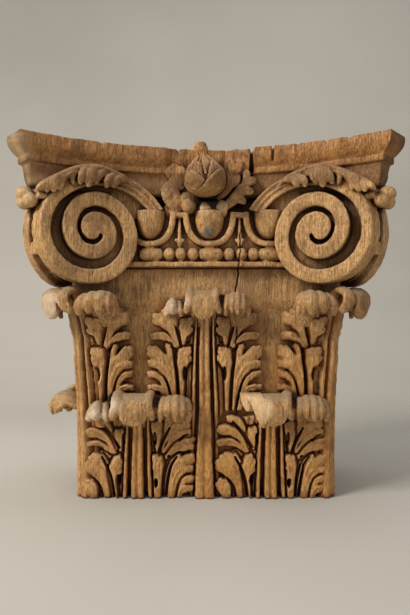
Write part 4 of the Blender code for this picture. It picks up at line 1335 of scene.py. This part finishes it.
def studio():
    scene = bpy.context.scene
    world_data = bpy.data.worlds.new("studio")
    world_data.use_nodes = True
    glow = world_data.node_tree.nodes["Background"].inputs
    glow[0].default_value = (0.92, 0.96, 1.0, 1.0)
    glow[1].default_value = 0.34
    scene.world = world_data
    scene.view_settings.view_transform = "Standard"

    # a paper sweep: floor, a wide bend and the wall behind
    points = [(-2.2, 0.0), (0.55, 0.0)]
    for k in range(1, 17):
        angle = k / 16 * math.pi / 2
        points.append((0.55 + 0.7 * math.sin(angle), 0.7 - 0.7 * math.cos(angle)))
    points.append((1.25, 3.2))
    verts = [(x, y, z - 0.0005) for y, z in points for x in (-3.0, 3.0)]
    faces = [(2 * k, 2 * k + 1, 2 * k + 3, 2 * k + 2) for k in range(len(points) - 1)]
    mesh = bpy.data.meshes.new("paper_sweep")
    mesh.from_pydata(verts, [], faces)
    sweep_obj = show("paper_sweep", mesh)
    mesh.polygons.foreach_set("use_smooth", np.ones(len(mesh.polygons), bool))
    paper = bpy.data.materials.new("paper")
    n = Nodes(paper)
    place = n.add("ShaderNodeTexCoord").outputs["Object"]
    cloud = n.noise(place, 3.0, 2.0)
    spread = n.parts(place)
    n.colour = n.mix(n.span(cloud, 0.3, 0.7), (0.475, 0.445, 0.39), (0.505, 0.475, 0.42))
    # painted light and shade on the wall: darker towards the top left, lighter towards the top right
    shade = n.mix(n.span(spread[0], -0.7, 0.7), (0.80, 0.80, 0.81), (1.10, 1.10, 1.11))
    n.paint(n.span(spread[2], 0.3, 1.2), shade, "MULTIPLY")
    n.put(n.shader, "Base Color", n.colour)
    n.put(n.shader, "Roughness", 0.85)
    mesh.materials.append(paper)

    def lamp(name, place, aim, size, power, colour):
        data = bpy.data.lights.new(name, "AREA")
        data.shape = "RECTANGLE"
        data.size, data.size_y = size
        data.energy = power
        data.color = colour
        obj = show(name, data)
        obj.location = place
        x, y, z = np.array(aim) - np.array(place)
        obj.rotation_euler = (math.atan2(math.hypot(x, y), -z), 0, math.atan2(-x, y))

    lamp("key", (-1.5, -1.05, 1.35), (0, 0, 0.2), (0.7, 0.7), 44, (1.0, 0.96, 0.90))
    lamp("fill", (1.5, -1.6, 0.8), (0, 0, 0.2), (1.4, 1.4), 5.5, (1.0, 0.95, 0.90))
    lamp("top", (0.0, 0.1, 1.6), (0, 0.0, 0.2), (1.2, 0.9), 7, (1.0, 0.98, 0.95))


CAMERA_AWAY = 0.520  # from the foremost point of the CAD model
CAMERA_HEIGHT = 0.188


def camera():
    data = bpy.data.cameras.new("camera")
    data.sensor_width = 36.0
    data.lens = 30.44
    data.shift_x = -0.0016
    data.shift_y = 0.0366
    data.clip_start = 0.02
    obj = show("camera", data)
    obj.location = (0.0, LOW.y - CAMERA_AWAY, CAMERA_HEIGHT)
    obj.rotation_euler = (math.pi / 2, 0, 0)
    bpy.context.scene.camera = obj


# ---------------------------------------------------------------- assembly

def main():
    bell()
    abacus()
    echinus(0)
    fleuron()
    both = {-1: SMALL, 1: FULL}
    full = {-1: FULL, 1: FULL}
    acanthus("lower_leaf_left", face_leaf(0, -LOWER_A), False, both, droop={-1: 4.0})
    acanthus("lower_leaf_right", face_leaf(0, LOWER_B), False, full, lost=(("fan", -1), ("rim", -1)),
             droop={-1: 2.0})
    acanthus("upper_leaf_front", face_leaf(0, -1.5), True, both)
    for hand in (-1, 1):
        acanthus(f"corner_leaf_{SIDES[hand]}", corner_leaf(hand), True, {-1: CORNER, 1: INNER}, plain=(-1,),
                 middle_blade=9.0)
    plain = {"plain": (-1, 1), "voxel": 1.4, "keep": 0.4}
    wide = {hand: (*FULL[:6], 1.08, 4) for hand in (-1, 1)}
    acanthus("lower_leaf_side_left", face_leaf(-1, LOWER_B), False, wide, **plain)
    acanthus("lower_leaf_side_right", face_leaf(1, -LOWER_B), False, full, lost=("all",), **plain)
    for turn in (-1, 1):
        acanthus(f"upper_leaf_side_{SIDES[turn]}", face_leaf(turn, 0.0), True, full, **plain)
    for hand in (-1, 1):
        volute(f"volute_front_{SIDES[hand]}", 0, hand, 0.95, 0.5)
        volute(f"volute_side_{SIDES[hand]}", hand, -hand, 1.3, 0.35)
        volute_core(hand)
        volute_leaf(0, hand, 0.85)
        volute_leaf(hand, -hand, 1.3)
        horn_ball(hand)
    echinus(-1)
    echinus(1)

    material = oak()
    for piece in PIECES:
        piece.data.materials.clear()
        piece.data.materials.append(material)
        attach(piece, "root")
        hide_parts("capital")
    studio()
    camera()


main()
